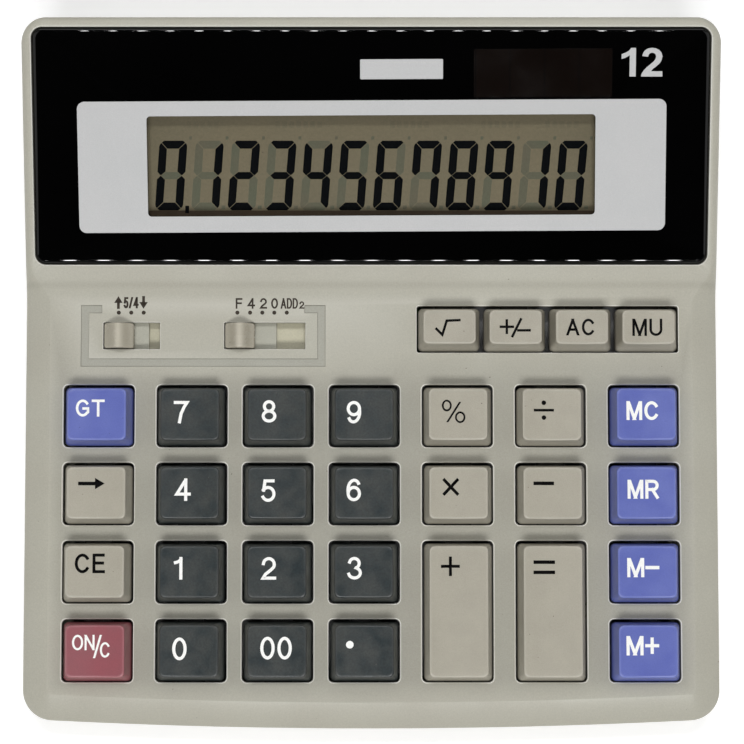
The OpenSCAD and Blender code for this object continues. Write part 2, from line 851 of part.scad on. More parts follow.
module display_board() {
    color(finish("board"))
        on_display()
            difference() {
                translate([0, window_s, 0])
                    block(display_board_w, display_board_d, -display_board_under, -display_board_drop);
                for (p = DISPLAY_SCREWS)
                    translate(p)
                        bar(board_screw_r + screw_hole_play, -display_board_under - EDGE, 0);
            }
}

module solar_cell() {
    color(finish("black"))
        on_display()
            translate([solar_x, solar_s, 0])
                block(solar_w, solar_d, solar_top - solar_t, solar_top);
}

module keypad_sheet() {
    translate([0, (sheet_front + sheet_step) / 2, 0])
        block(sheet_w, sheet_step - sheet_front, -board_drop, -board_drop + keypad_t);
    left = small_key_x(0) - dome_r - sheet_margin;
    translate([(left + sheet_w / 2) / 2, (sheet_step + sheet_rear) / 2 - EDGE / 2, 0])
        block(sheet_w / 2 - left, sheet_rear - sheet_step + EDGE, -board_drop, -board_drop + keypad_t);
}

module rubber_keypad() {
    sheet_top = -board_drop + keypad_t;
    shoulder = dome_top - dome_shoulder;
    color(finish("rubber"))
        on_keys()
            difference() {
                union() {
                    keypad_sheet();
                    for (p = DOMES)
                        translate(p) {
                            translate([0, 0, sheet_top])
                                cylinder(r1 = dome_r, r2 = dome_neck_r, h = shoulder - sheet_top);
                            bar(dome_neck_r, shoulder, dome_top);
                        }
                }
                for (p = DOMES)
                    translate(p)
                        difference() {
                            translate([0, 0, -board_drop])
                                cylinder(
                                    r1 = dome_r - dome_wall,
                                    r2 = dome_neck_r - dome_wall,
                                    h = board_drop + dome_top - dome_roof
                                );
                            bar(pill_r, pill_end, dome_top);
                        }
                for (p = BOARD_SCREWS)
                    translate(p)
                        bar(sheet_hole_r, -board_drop - EDGE, sheet_top + EDGE);
            }
}

module key_board() {
    color(finish("board"))
        on_keys()
            difference() {
                translate([0, (sheet_front + board_rear) / 2, 0])
                    block(sheet_w, board_rear - sheet_front, -board_under, -board_drop);
                for (p = BOARD_SCREWS)
                    translate(p)
                        bar(board_screw_r + screw_hole_play, -board_under - EDGE, 0);
            }
}

module chip_cap() {
    cap_r = 8;
    cap_h = 1.4;
    color(finish("black"))
        on_keys()
            translate([column_x(4), row_v(1) - row_pitch / 2, -board_under])
                difference() {
                    translate([0, 0, cap_r - cap_h])
                        sphere(cap_r);
                    block(3 * cap_r, 3 * cap_r, 0, 3 * cap_r);
                }
}

module switch_guide() {
    guide_w = guide_right - guide_left;
    inner_w = guide_w - 2 * guide_wall;
    inner_d = guide_d - 2 * guide_wall;
    color(finish("cream"))
        on_keys()
            difference() {
                translate([(guide_left + guide_right) / 2, switch_v, 0])
                    difference() {
                        block(guide_w, guide_d, -board_drop, guide_top);
                        block(inner_w, inner_d, -board_drop - EDGE, guide_under);
                    }
                for (slot = [[rounding_x, rounding_travel], [decimal_x, decimal_travel]])
                    translate([slot[0] + slot_w(slot[1]) / 2, stem_v, 0])
                        block(stem_w + slot[1] + 2 * knob_fit, stem_d + 2 * SLIDE_FIT, guide_under - EDGE, 0);
            }
}

// Knob with a rounded top, the apron that covers the slot and the stem that carries the wiper
module slider(slot_x, apron) {
    crown = 0.8;
    crown_r = (pow(knob_w / 2, 2) + pow(crown, 2)) / (2 * crown);
    color(finish("case"))
        on_keys()
            translate([knob_x(slot_x), switch_v, 0]) {
                intersection() {
                    block(knob_w, knob_d, apron_top - apron_t / 2, knob_h);
                    translate([0, 0, knob_h - crown_r])
                        rotate([90, 0, 0])
                            cylinder(r = crown_r, h = knob_d + EDGE, center = true, $fn = 96);
                }
                block(knob_w + 2 * apron, apron_d, apron_top - apron_t, apron_top);
                translate([0, stem_v - switch_v, 0])
                    block(stem_w, stem_d, stem_end, apron_top - apron_t / 2);
            }
}

module rounding_slider() {
    slider(rounding_x, rounding_apron);
}

module decimal_slider() {
    slider(decimal_x, decimal_apron);
}

// Leaf under the stem whose two arms bear on the board
module wiper(slot_x) {
    leaf_t = 0.25;
    arm = 1.2;
    rise = stem_end - leaf_t / 2;
    foot = -board_drop + SEAT_FIT + leaf_t / 2;
    half = stem_w / 2;
    path = [[-half - arm, foot], [-half + arm / 2, rise], [half - arm / 2, rise], [half + arm, foot]];
    color(finish("steel"))
        on_keys()
            translate([knob_x(slot_x), stem_v, 0])
                rotate([90, 0, 0])
                    linear_extrude(stem_d - 2 * SLIDE_FIT, center = true)
                        strip(path, leaf_t);
}

// Thin strip along a path, measured square to the path's long way
module strip(path, thick) {
    polygon(concat(
        [for (p = path) p + [0, thick / 2]],
        reverse([for (p = path) p - [0, thick / 2]])
    ));
}

module rounding_wiper() {
    wiper(rounding_x);
}

module decimal_wiper() {
    wiper(decimal_x);
}

module battery_cell() {
    nub_r = 2.75;
    nub_h = 1.6;
    color(finish("steel"))
        translate([-cell_len / 2, cell_y, cell_z])
            rotate([0, 90, 0]) {
                cylinder(r = cell_r, h = cell_len - nub_h);
                cylinder(r = nub_r, h = cell_len);
            }
}

// Folded spring strip that stands on the pocket's end wall and reaches out through the pocket's roof
module contact(side) {
    path = [
        [cell_z - 5.5, leg_x], [cell_z - 4, leg_x], [cell_z - 1.2, tip_x],
        [cell_z + 1.2, tip_x], [cell_z + 4, leg_x], [tail_top, leg_x],
    ];
    color(finish("steel"))
        translate([0, cell_y, 0])
            rotate([90, 0, 0])
                linear_extrude(contact_w, center = true)
                    polygon(concat(
                        [for (p = path) [side * (p[1] + contact_t / 2), p[0]]],
                        reverse([for (p = path) [side * (p[1] - contact_t / 2), p[0]]])
                    ));
}

module positive_contact() {
    contact(1);
}

module negative_contact() {
    contact(-1);
}

// Round wire swept along a route: each ring stands square to the route at its point
WIRE_SIDES = 8;
function unit(v) = v / norm(v);
function heading(route, i) = unit(route[min(i + 1, len(route) - 1)] - route[max(i - 1, 0)]);
function ring_at(centre, along, r) =
    let (side = unit(cross(along, abs(along[0]) < 0.8 ? [1, 0, 0] : [0, 1, 0])), up = cross(side, along))
        [for (a = [0:360 / WIRE_SIDES:359]) centre + r * (cos(a) * side + sin(a) * up)];

module wire(route, r) {
    n = WIRE_SIDES;
    last = (len(route) - 1) * n;
    points = [for (i = [0:len(route) - 1]) each ring_at(route[i], heading(route, i), r)];
    sides = [
        for (i = [0:len(route) - 2], k = [0:n - 1])
            let (a = i * n + k, b = i * n + (k + 1) % n)
                each [[a, b, b + n], [a, b + n, a + n]]
    ];
    ends = [[for (k = [n - 1:-1:0]) k], [for (k = [0:n - 1]) last + k]];
    polyhedron(points, concat(sides, ends));
}

// Routes of the wires, chosen by hand
BATTERY_WIRE_R = 0.6;
// The first stretch starts on a contact's tail, the second ends on the key board's rear corner
WIRE_START = [[0, 0, -0.7], [3.8, 0, -0.1], [10.8, -2, 0.3]];
WIRE_END = [
    [-17, 37, 8], [-9, 34, 6.7], [-4, 29, 5.3], [-1.5, 23, 3.7], [-1, 17, 2.1], [-1.3, 11, 1.1],
    [-2.4, 6, 0.8], [-4, 2, 0.7], [-5, -1.2, 0.7],
];
tail_place = [leg_x + contact_t / 2 + SEAT_FIT + BATTERY_WIRE_R, cell_y, tail_top];
corner_place = concat([sheet_w / 2], key_point(board_rear, -board_drop));
BATTERY_WIRE = concat([for (p = WIRE_START) p + tail_place], [for (p = WIRE_END) p + corner_place]);
SOLAR_WIRE_R = 0.4;
SOLAR_WIRE = [
    [0, 48.6, -3.7], [0, 48.9, -4.8], [0, 48.3, -6.2], [0, 46.8, -7.4], [0, 44.8, -8], [0, 42.8, -8.15],
];

module battery_leads() {
    color("firebrick")
        for (side = [-1, 1])
            wire([for (p = BATTERY_WIRE) [side * p[0], p[1], p[2]]], BATTERY_WIRE_R);
}

module solar_leads() {
    lead_gap = 4;
    color("firebrick")
        on_display()
            for (side = [-1, 1])
                wire([for (p = SOLAR_WIRE) p + [solar_x + side * lead_gap, 0, 0]], SOLAR_WIRE_R);
}

// Flat cable from the display board's front edge down to the rear strip of the key board
module display_ribbon() {
    ribbon_w = 40;
    ribbon_t = 0.3;
    ribbon_hold = 2.5;
    clear = SEAT_FIT + ribbon_t / 2;
    board_front = window_s - display_board_d / 2;
    under = -display_board_under - clear;
    start = display_point(board_front + ribbon_hold, under);
    edge = display_point(board_front - 0.5, under);
    pad = key_point(board_rear + 0.5, -board_drop + clear + 0.15);
    finish_end = key_point(board_rear - 1.8, -board_drop + clear);
    path = [start, edge, (edge + pad) / 2 + [0, -0.4], pad, finish_end];
    color("wheat")
        rotate([90, 0, 90])
            linear_extrude(ribbon_w, center = true)
                strip(path, ribbon_t);
}

// Screw that points up: a head with a cross slot below, a plain round thread above
module screw(r, head_r, head_h, length) {
    slot_w = 0.5;
    slot_depth = 0.6;
    difference() {
        bar(head_r, -head_h, 0);
        for (turn = [0, 90])
            rotate([0, 0, turn])
                block(1.4 * head_r, slot_w, -head_h - EDGE, -head_h + slot_depth);
    }
    bar(r, -head_h / 4, length);
}

module case_screws() {
    head_h = 1.4;
    color(finish("steel"))
        for (p = CASE_SCREWS)
            translate([p[0], p[1], head_seat_z - SEAT_FIT])
                screw(case_screw_r, 1.75 * case_screw_r, head_h, boss_joint_z + case_thread - head_seat_z);
}

module board_screws() {
    head_h = 1.1;
    color(finish("steel")) {
        on_keys()
            for (p = BOARD_SCREWS)
                translate([p[0], p[1], -board_under - SEAT_FIT])
                    screw(board_screw_r, 1.9 * board_screw_r, head_h, board_t + board_thread);
        on_display()
            for (p = DISPLAY_SCREWS)
                translate([p[0], p[1], -display_board_under - SEAT_FIT])
                    screw(board_screw_r, 1.9 * board_screw_r, head_h, board_t + board_thread - EDGE / 2);
    }
}

module rubber_feet() {
    color(finish("rubber"))
        for (p = FEET)
            translate(p)
                bar(foot_r, 0, foot_t);
}

upper_case();
lower_case();
display_lens();
lcd_front_glass();
lcd_rear_glass();
lcd_reflector();
lcd_holder();
contact_strip();
display_board();
solar_cell();
rubber_keypad();
key_board();
chip_cap();
switch_guide();
rounding_slider();
decimal_slider();
rounding_wiper();
decimal_wiper();
battery_cell();
positive_contact();
negative_contact();
battery_door();
battery_leads();
solar_leads();
display_ribbon();
case_screws();
board_screws();
rubber_feet();
for (k = KEYS) key(k);
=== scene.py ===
"""Looks of a desktop calculator: case, keys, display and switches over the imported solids."""

import json
import logging
import math
from collections.abc import Callable, Sequence
from dataclasses import dataclass, field
from enum import Enum

import bmesh
import bpy
import numpy as np
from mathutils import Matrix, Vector
from mathutils.geometry import delaunay_2d_cdt

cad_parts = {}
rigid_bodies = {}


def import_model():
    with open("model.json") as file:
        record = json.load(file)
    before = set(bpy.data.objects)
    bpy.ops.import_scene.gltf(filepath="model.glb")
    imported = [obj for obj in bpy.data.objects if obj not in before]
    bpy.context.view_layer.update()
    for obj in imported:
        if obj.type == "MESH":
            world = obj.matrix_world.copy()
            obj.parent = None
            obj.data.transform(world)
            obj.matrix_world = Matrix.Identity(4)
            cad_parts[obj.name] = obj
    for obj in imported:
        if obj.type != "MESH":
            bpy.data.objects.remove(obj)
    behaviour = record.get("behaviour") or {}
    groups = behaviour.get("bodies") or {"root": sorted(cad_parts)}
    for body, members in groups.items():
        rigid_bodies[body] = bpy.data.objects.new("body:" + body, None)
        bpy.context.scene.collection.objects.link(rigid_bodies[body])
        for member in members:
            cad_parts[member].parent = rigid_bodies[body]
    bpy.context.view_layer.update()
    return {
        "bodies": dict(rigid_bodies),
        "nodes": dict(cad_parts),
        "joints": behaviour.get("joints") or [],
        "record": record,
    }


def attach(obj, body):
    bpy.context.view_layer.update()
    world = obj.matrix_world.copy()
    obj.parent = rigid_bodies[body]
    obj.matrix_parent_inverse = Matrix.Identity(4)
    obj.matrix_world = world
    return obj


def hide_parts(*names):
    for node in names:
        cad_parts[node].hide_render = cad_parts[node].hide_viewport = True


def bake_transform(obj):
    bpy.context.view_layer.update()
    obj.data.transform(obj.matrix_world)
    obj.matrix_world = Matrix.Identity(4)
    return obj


Array = np.ndarray
Value = Array | float
Loops = Sequence[Array]
Height = Callable[[Array, Array], Array]
Colour = Point = tuple[float, float, float]
Box = tuple[float, float, float, float]
Pair = tuple[float, float]
Floats = tuple[float, ...]
Thing = bpy.types.Object
Socket = bpy.types.NodeSocket
Tree = bpy.types.NodeTree

MM = 0.001
TINY = 1e-9
WELD = 2e-6
SHARP_ANGLE = 38.0
SOFT_ANGLE = 30.0
MITRE_LIMIT = 0.35
log = logging.getLogger("calculator")


def chain(*parts: Array) -> Array:
    """Joins arrays end to end."""
    return np.concatenate(parts)


@dataclass(frozen=True)
class Slope:
    """A plane through (0, y, z), tilted by degrees: u goes to the right, v up the slope and w out, in millimetres."""

    y: float
    z: float
    tilt: float

    def place(self, u: Value, v: Value, w: Value) -> Array:
        """Carries plane coordinates into the case: y = y0 + v cos - w sin, z = z0 + v sin + w cos.

        Args:
            u: Distance to the right.
            v: Distance up the slope.
            w: Distance out of the surface.

        Returns:
            Points with a last axis of three.
        """
        u, v, w = np.broadcast_arrays(np.asarray(u, float), v, w)
        c, s = math.cos(math.radians(self.tilt)), math.sin(math.radians(self.tilt))
        return np.stack([u, self.y + v * c - w * s, self.z + v * s + w * c], axis=-1)

    def flatten(self, points: Array) -> Array:
        """Gives the u and v of points in the case, the reverse of place."""
        c, s = math.cos(math.radians(self.tilt)), math.sin(math.radians(self.tilt))
        return np.stack([points[..., 0], (points[..., 1] - self.y) * c + (points[..., 2] - self.z) * s], axis=-1)


LEVEL = Slope(0.0, 0.0, 0.0)


class RoundedRect:
    """A rectangle with round corners as corner signs and arc directions: point = sign (half - r) + arc r."""

    def __init__(self, corner_steps: int, side_steps: int) -> None:
        """Works out the signs and directions once, counter-clockwise from the lower right corner.

        Args:
            corner_steps: Steps in each quarter arc.
            side_steps: Steps along each side.
        """
        corners = np.array([[1, -1], [1, 1], [-1, 1], [-1, -1]], float)
        turn = np.radians(np.linspace(0, 90, corner_steps + 1))
        share = np.linspace(0, 1, side_steps + 1)[1:-1, None]
        signs, arcs = [], []
        for k, start in enumerate(np.radians([-90, 0, 90, 180])):
            bow = np.stack([np.cos(start + turn), np.sin(start + turn)], axis=1)
            signs += [np.repeat(corners[k : k + 1], len(turn), 0)]
            signs += [corners[k] * (1 - share) + corners[(k + 1) % 4] * share]
            arcs += [bow, np.repeat(bow[-1:], len(share), 0)]
        self.sign = np.concatenate(signs)
        self.arc = np.concatenate(arcs)

    def loops(self, half_w: Value, half_d: Value, radius: Value) -> Array:
        """Gives one loop for each set of half sizes and corner radius.

        Args:
            half_w: Half widths.
            half_d: Half depths.
            radius: Corner radii.

        Returns:
            Loops with shape (sizes, points, 2).
        """
        sizes = (np.atleast_1d(np.asarray(a, float)) for a in (half_w, half_d, radius))
        half_w, half_d, radius = np.broadcast_arrays(*sizes)
        half = np.stack([half_w, half_d], axis=-1)[:, None, :]
        r = radius[:, None, None]
        return self.sign * (half - r) + self.arc * r

    def loop(self, half_w: float, half_d: float, radius: float, u: float = 0.0, v: float = 0.0) -> Array:
        """Gives a single loop about a middle."""
        return self.loops(half_w, half_d, radius)[0] + np.array([u, v])


OPENING_LOOP = RoundedRect(6, 1)
KEY_LOOP = RoundedRect(6, 8)
KNOB_LOOP = RoundedRect(4, 16)
PANEL_LOOP = RoundedRect(10, 1)
SEAT_LOOP = RoundedRect(12, 1)
FLOOR_LOOP = RoundedRect(8, 2)
HINT_LOOP = RoundedRect(2, 1)


def offset_loop(loop: Array, distance: float) -> Array:
    """Moves a counter-clockwise loop outwards; each corner slides along its mitre (n1 + n2) / (1 + n1.n2).

    Args:
        loop: Points in the plane.
        distance: Distance outwards, negative for inwards.

    Returns:
        The moved loop.
    """
    edge = np.roll(loop, -1, 0) - loop
    edge = edge / np.maximum(np.linalg.norm(edge, axis=1, keepdims=True), TINY)
    after = np.stack([edge[:, 1], -edge[:, 0]], axis=1)
    before = np.roll(after, 1, 0)
    bend = np.maximum(1 + np.sum(before * after, axis=1, keepdims=True), MITRE_LIMIT)
    return loop + distance * (before + after) / bend


def inside(points: Array, loop: Array) -> Array:
    """Tells which points a loop holds, by counting how often a ray to the right crosses it.

    Args:
        points: Points in the plane.
        loop: Closed loop.

    Returns:
        One truth value for each point.
    """
    level = 1e-12
    a, b = loop[None], np.roll(loop, -1, 0)[None]
    x, y = points[:, None, 0], points[:, None, 1]
    rise = np.where(np.abs(b[..., 1] - a[..., 1]) < level, level, b[..., 1] - a[..., 1])
    cross = a[..., 0] + (y - a[..., 1]) * (b[..., 0] - a[..., 0]) / rise
    hit = ((a[..., 1] > y) != (b[..., 1] > y)) & (x < cross)
    return hit.sum(axis=1) % 2 == 1


def contiguous(ring: Array, mask: Array) -> Array:
    """Gives the masked points of a closed ring in one unbroken run, in the ring's order."""
    start = int(np.argmax(mask & ~np.roll(mask, 1))) if not mask.all() else 0
    return np.roll(ring, -start, 0)[np.roll(mask, -start)]


def fill_plane(outer: Array, holes: Loops) -> tuple[Array, Array]:
    """Fills the area between a loop and its holes with triangles.

    Args:
        outer: Loop round the area.
        holes: Loops left open.

    Returns:
        Points in the plane and triangles.
    """
    loops = [outer, *holes]
    starts = np.cumsum([0] + [len(p) for p in loops])
    edges = [
        np.stack([np.arange(len(p)), np.roll(np.arange(len(p)), -1)], axis=1) + s for p, s in zip(loops, starts)
    ]
    corners = [Vector(p) for p in np.concatenate(loops).tolist()]
    found = delaunay_2d_cdt(corners, np.concatenate(edges).tolist(), [], 0, 1e-7)
    points = np.array([tuple(p) for p in found[0]])
    triangles = np.array([tuple(t) for t in found[2]])
    middles = points[triangles].mean(axis=1)
    keep = inside(middles, outer)
    for hole in holes:
        keep &= ~inside(middles, hole)
    return points, triangles[keep]


class Skin:
    """Gathers patches of points and faces in millimetres and makes them one welded mesh."""

    ROUND_STEPS = 7

    def __init__(self) -> None:
        """Starts with no patch."""
        self._points: list[Array] = []
        self._faces: list[Array] = []
        self._edge: list[Array] = []
        self._count = 0

    def patch(self, points: Array, faces: Array, edge: Value = 0.0) -> None:
        """Adds points, faces on them and an edge value for each point, which lightens or darkens its colour.

        Args:
            points: Points with a last axis of three.
            faces: Point numbers, one row for each face.
            edge: Edge value, 1 for an edge lightened as rubbing and a painted highlight, below 0 for painted shade, one
                for all or one for each point.
        """
        points = np.asarray(points, float).reshape(-1, 3)
        self._points.append(points)
        self._faces.append(np.asarray(faces, int) + self._count)
        self._edge.append(np.broadcast_to(np.asarray(edge, float), (len(points),)))
        self._count += len(points)

    def grid(self, points: Array, wrap: bool = True, edge: Value = 0.0) -> None:
        """Joins neighbouring points of a grid by quads.

        Args:
            points: Grid of shape (rows, columns, 3).
            wrap: Whether the last column joins the first.
            edge: Edge value of rubbing and painted light, one for all, one for each row or one for each point.
        """
        rows, columns = points.shape[:2]
        index = np.arange(rows * columns).reshape(rows, columns)
        index = np.concatenate([index, index[:, :1]], axis=1) if wrap else index
        quads = np.stack([index[:-1, :-1], index[:-1, 1:], index[1:, 1:], index[1:, :-1]], axis=-1)
        wear_and_painted_light = np.asarray(edge, float)
        wear_and_painted_light = np.broadcast_to(wear_and_painted_light[:, None] if wear_and_painted_light.ndim == 1 else wear_and_painted_light, (rows, columns))
        self.patch(points, quads.reshape(-1, 4), wear_and_painted_light.ravel())

    def flat(
        self, slope: Slope, outer: Array, holes: Loops, w: float, edge: Callable[[Array], Array] | float = 0.0
    ) -> None:
        """Adds a flat area with holes on a slope; its edge value is one for all or worked out from the plane
        coordinates.
        """
        points, triangles = fill_plane(outer, holes)
        self.patch(slope.place(points[:, 0], points[:, 1], w), triangles, edge(points) if callable(edge) else edge)

    def wall(self, slope: Slope, loop: Array, steps: Sequence[Pair], edge: Sequence[float]) -> None:
        """Adds a band that follows a loop: each step moves it outwards and out of the plane and has its own edge value.
        """
        rings = np.stack([offset_loop(loop, out) for out, _ in steps])
        self.grid(slope.place(rings[..., 0], rings[..., 1], np.array(steps)[:, 1:]), True, edge)

    def plate(
        self, slope: Slope, outer: Array, holes: Loops, low: float, high: float, rounding: float = 0.0,
        hole_rounding: float = 0.0, edge: float = 0.0,
    ) -> None:
        """Adds a closed plate with holes; its upper edges are quarter rounds.

        Args:
            slope: Plane that the plate follows.
            outer: Loop round the plate.
            holes: Loops cut through it.
            low: Lower face.
            high: Upper face.
            rounding: Radius of the outer upper edge.
            hole_rounding: Radius of the holes' upper edges.
            edge: Edge value of the faces; the rounded edges add rubbing and a painted highlight to it.
        """
        for loop, radius, way in [(outer, rounding, -1.0), *[(h, hole_rounding, 1.0) for h in holes]]:
            turn = np.radians(np.linspace(0, 90, self.ROUND_STEPS if radius else 1))
            out = way * radius * (1 - np.cos(turn))
            rise = high - radius * (1 - np.sin(turn))
            # The rounded edges lighten most halfway round, as rubbing and a painted highlight
            wear_and_painted_light = edge + (4 * (turn / math.pi) * (1 - turn / math.pi) if radius else np.zeros(1))
            self.wall(slope, loop, [(0.0, low), *zip(out, rise)], [edge, *wear_and_painted_light])
        inner = [offset_loop(h, hole_rounding) for h in holes]
        self.flat(slope, offset_loop(outer, -rounding), inner, high, edge)
        self.flat(slope, outer, holes, low, edge)

    def turned(self, slope: Slope, u: float, v: float, profile: Array, steps: int = 24) -> None:
        """Turns a profile of radius and height about the slope's normal at a place.

        Args:
            slope: Plane that the axis stands on.
            u: Place of the axis.
            v: Place of the axis.
            profile: Rows of radius and height w.
            steps: Steps round the axis.
        """
        turn = np.linspace(0, 2 * math.pi, steps, endpoint=False)
        radius, height = np.asarray(profile, float).T[:, :, None]
        self.grid(slope.place(u + radius * np.cos(turn), v + radius * np.sin(turn), height))

    def build(self, name: str) -> Thing:
        """Welds the patches, points all faces outwards and shades them smooth.

        Args:
            name: Name of the object.

        Returns:
            The new object.
        """
        mesh = bpy.data.meshes.new(name)
        faces = [row for block in self._faces for row in block.tolist()]
        mesh.from_pydata((np.concatenate(self._points) * MM).tolist(), [], faces)
        wear_and_painted_light = mesh.attributes.new("edge", "FLOAT", "POINT")
        wear_and_painted_light.data.foreach_set("value", np.concatenate(self._edge).astype(np.float32))
        work = bmesh.new()
        work.from_mesh(mesh)
        bmesh.ops.remove_doubles(work, verts=work.verts, dist=WELD)
        bmesh.ops.dissolve_degenerate(work, edges=work.edges, dist=1e-7)
        bmesh.ops.recalc_face_normals(work, faces=work.faces)
        work.to_mesh(mesh)
        work.free()
        piece = show(mesh, name, SHARP_ANGLE)
        keep_flats(piece).weight = 100
        return piece


def show(mesh: bpy.types.Mesh, name: str, sharp: float) -> Thing:
    """Puts a mesh into the scene, shaded smooth apart from edges past an angle.

    Args:
        mesh: Mesh to show.
        name: Name of the object.
        sharp: Angle in degrees from which an edge stays sharp.

    Returns:
        The new object.
    """
    mesh.shade_smooth()
    mesh.set_sharp_from_angle(angle=math.radians(sharp))
    piece = bpy.data.objects.new(name, mesh)
    bpy.context.scene.collection.objects.link(piece)
    return piece


def keep_flats(piece: Thing) -> bpy.types.Modifier:
    """Lets large faces rule a piece's shading, so that flats stay flat, and gives the modifier."""
    flats = piece.modifiers.new("flats", "WEIGHTED_NORMAL")
    flats.keep_sharp = True
    return flats


class Shader:
    """Adds nodes to a node tree and links them."""

    def __init__(self, tree: Tree) -> None:
        """Keeps the tree that nodes go into."""
        self.tree = tree

    def add(self, kind: str, values: dict | None = None, **settings: object) -> bpy.types.Node:
        """Adds a node.

        Args:
            kind: Type name of the node.
            values: Input values by socket name; a socket as value is linked.
            **settings: Properties of the node.

        Returns:
            The new node.
        """
        node = self.tree.nodes.new(kind)
        for key, value in settings.items():
            setattr(node, key, value)
        for key, value in (values or {}).items():
            if isinstance(value, Socket):
                self.tree.links.new(value, node.inputs[key])
            else:
                node.inputs[key].default_value = value
        return node

    def math(self, operation: str, a: object, b: object = 0.0, c: object = 0.0) -> Socket:
        """Adds a Math node on values or sockets and gives its result."""
        return self.add("ShaderNodeMath", {0: a, 1: b, 2: c}, operation=operation).outputs[0]

    def mix(self, share: object, a: object, b: object) -> Socket:
        """Adds a colour mix of a towards b and gives its result."""
        return self.add("ShaderNodeMix", {0: share, 6: a, 7: b}, data_type="RGBA").outputs[2]

    def axis(self, place: Socket, number: int) -> Socket:
        """Gives one coordinate of a place: 0 for x, 1 for y and 2 for z."""
        return self.add("ShaderNodeSeparateXYZ", {0: place}).outputs[number]


def linear(colour: Sequence[float]) -> tuple[float, float, float, float]:
    """Turns an 8-bit display colour into linear light, with an alpha of one."""
    c = np.asarray(colour, float) / 255
    return (*np.where(c <= 0.04045, c / 12.92, ((c + 0.055) / 1.055) ** 2.4).tolist(), 1.0)


class Effect(Enum):
    """Shared effects, each a node group that is built once."""

    GRAIN = "moulded_grain"
    TONE = "tone_and_specks"
    # Edge lightening as rubbing and painted highlight, and painted shade where the edge value is below 0
    WEAR = "edge_wear"

    def group(self) -> Tree:
        """Gives the effect's node group, and makes it the first time."""
        makers = {Effect.GRAIN: make_grain, Effect.TONE: make_tone, Effect.WEAR: make_wear_and_light}
        return bpy.data.node_groups.get(self.value) or makers[self](self.value)


def new_group(name: str, inputs: dict[str, str], outputs: dict[str, str]) -> tuple[Shader, dict, dict]:
    """Starts a node group with named sockets.

    Args:
        name: Name of the group.
        inputs: Socket types by name.
        outputs: Socket types by name.

    Returns:
        A shader helper, the group's inputs as sockets and its output sockets.
    """
    tree = bpy.data.node_groups.new(name, "ShaderNodeTree")
    for way, sockets in (("INPUT", inputs), ("OUTPUT", outputs)):
        for key, kind in sockets.items():
            tree.interface.new_socket(key, in_out=way, socket_type="NodeSocket" + kind)
    shader = Shader(tree)
    return shader, shader.add("NodeGroupInput").outputs, shader.add("NodeGroupOutput").inputs


def make_grain(name: str) -> Tree:
    """Builds the grain group: fine noise as height, broad noise as mottle, and rare specks."""
    sh, inp, out = new_group(
        name,
        {"Vector": "Vector", "Grain": "Float", "Mottle": "Float"},
        {"Height": "Float", "Mottle": "Float", "Speck": "Float"},
    )
    specks_per_metre = 1500.0
    fine, broad, dots = (
        sh.add("ShaderNodeTexNoise", {"Vector": inp["Vector"], "Scale": scale, "Detail": detail}).outputs[0]
        for scale, detail in ((inp["Grain"], 2.0), (inp["Mottle"], 5.0), (specks_per_metre, 1.0))
    )
    rare = sh.add("ShaderNodeMapRange", {"Value": dots, "From Min": 0.8, "From Max": 0.84}).outputs[0]
    even = sh.add("ShaderNodeMapRange", {"Value": broad, "From Min": 0.3, "From Max": 0.7}).outputs[0]
    for key, socket in (("Height", fine), ("Mottle", even), ("Speck", rare)):
        sh.tree.links.new(socket, out[key])
    return sh.tree


def make_tone(name: str) -> Tree:
    """Builds the tone group: two tones mixed by the mottle, grain shading and specks on top."""
    colours = dict.fromkeys(("Tone", "Second", "Fleck"), "Color")
    values = dict.fromkeys(("Mottle", "Height", "Speck", "Contrast"), "Float")
    sh, inp, out = new_group(name, colours | values, {"Colour": "Color"})
    base = sh.mix(inp["Mottle"], inp["Tone"], inp["Second"])
    swing = sh.math("MULTIPLY", sh.math("SUBTRACT", inp["Height"], 0.5), inp["Contrast"])
    shade = sh.math("ADD", sh.math("MULTIPLY", swing, 4.0), 1.0)
    grained = sh.add("ShaderNodeVectorMath", {0: base, 1: shade}, operation="MULTIPLY")
    sh.tree.links.new(sh.mix(inp["Speck"], grained.outputs[0], inp["Fleck"]), out["Colour"])
    return sh.tree


def make_wear_and_light(name: str) -> Tree:
    """Builds the group of edge light: exposed edges drift towards a lighter colour, partly rubbing and partly a painted
    highlight, and an edge below 0 darkens as painted shade.
    """
    sh, inp, out = new_group(
        name,
        {"Colour": "Color", "Worn": "Color", "Edge": "Float", "Mottle": "Float", "Amount": "Float"},
        {"Colour": "Color"},
    )
    # A negative edge value mixes in this near-black colour as painted shade in gaps and recesses
    painted_shade_colour, deepest_painted_shade = (20, 18, 16), 0.9
    # A positive edge value mixes in the lighter colour as rubbing and a painted highlight
    patchy = sh.math("MULTIPLY_ADD", inp["Mottle"], 0.5, 0.6)
    open_edge = sh.math("MAXIMUM", inp["Edge"], 0.0)
    share = sh.math("MULTIPLY", sh.math("MULTIPLY", open_edge, patchy), inp["Amount"])
    limit = sh.math("MINIMUM", share, 1.0)
    below = sh.math("MAXIMUM", sh.math("MULTIPLY", inp["Edge"], -1.0), 0.0)
    wear_and_painted_light = sh.mix(limit, inp["Colour"], inp["Worn"])
    painted_shade = sh.math("MULTIPLY", below, deepest_painted_shade)
    sh.tree.links.new(sh.mix(painted_shade, wear_and_painted_light, linear(painted_shade_colour)), out["Colour"])
    return sh.tree


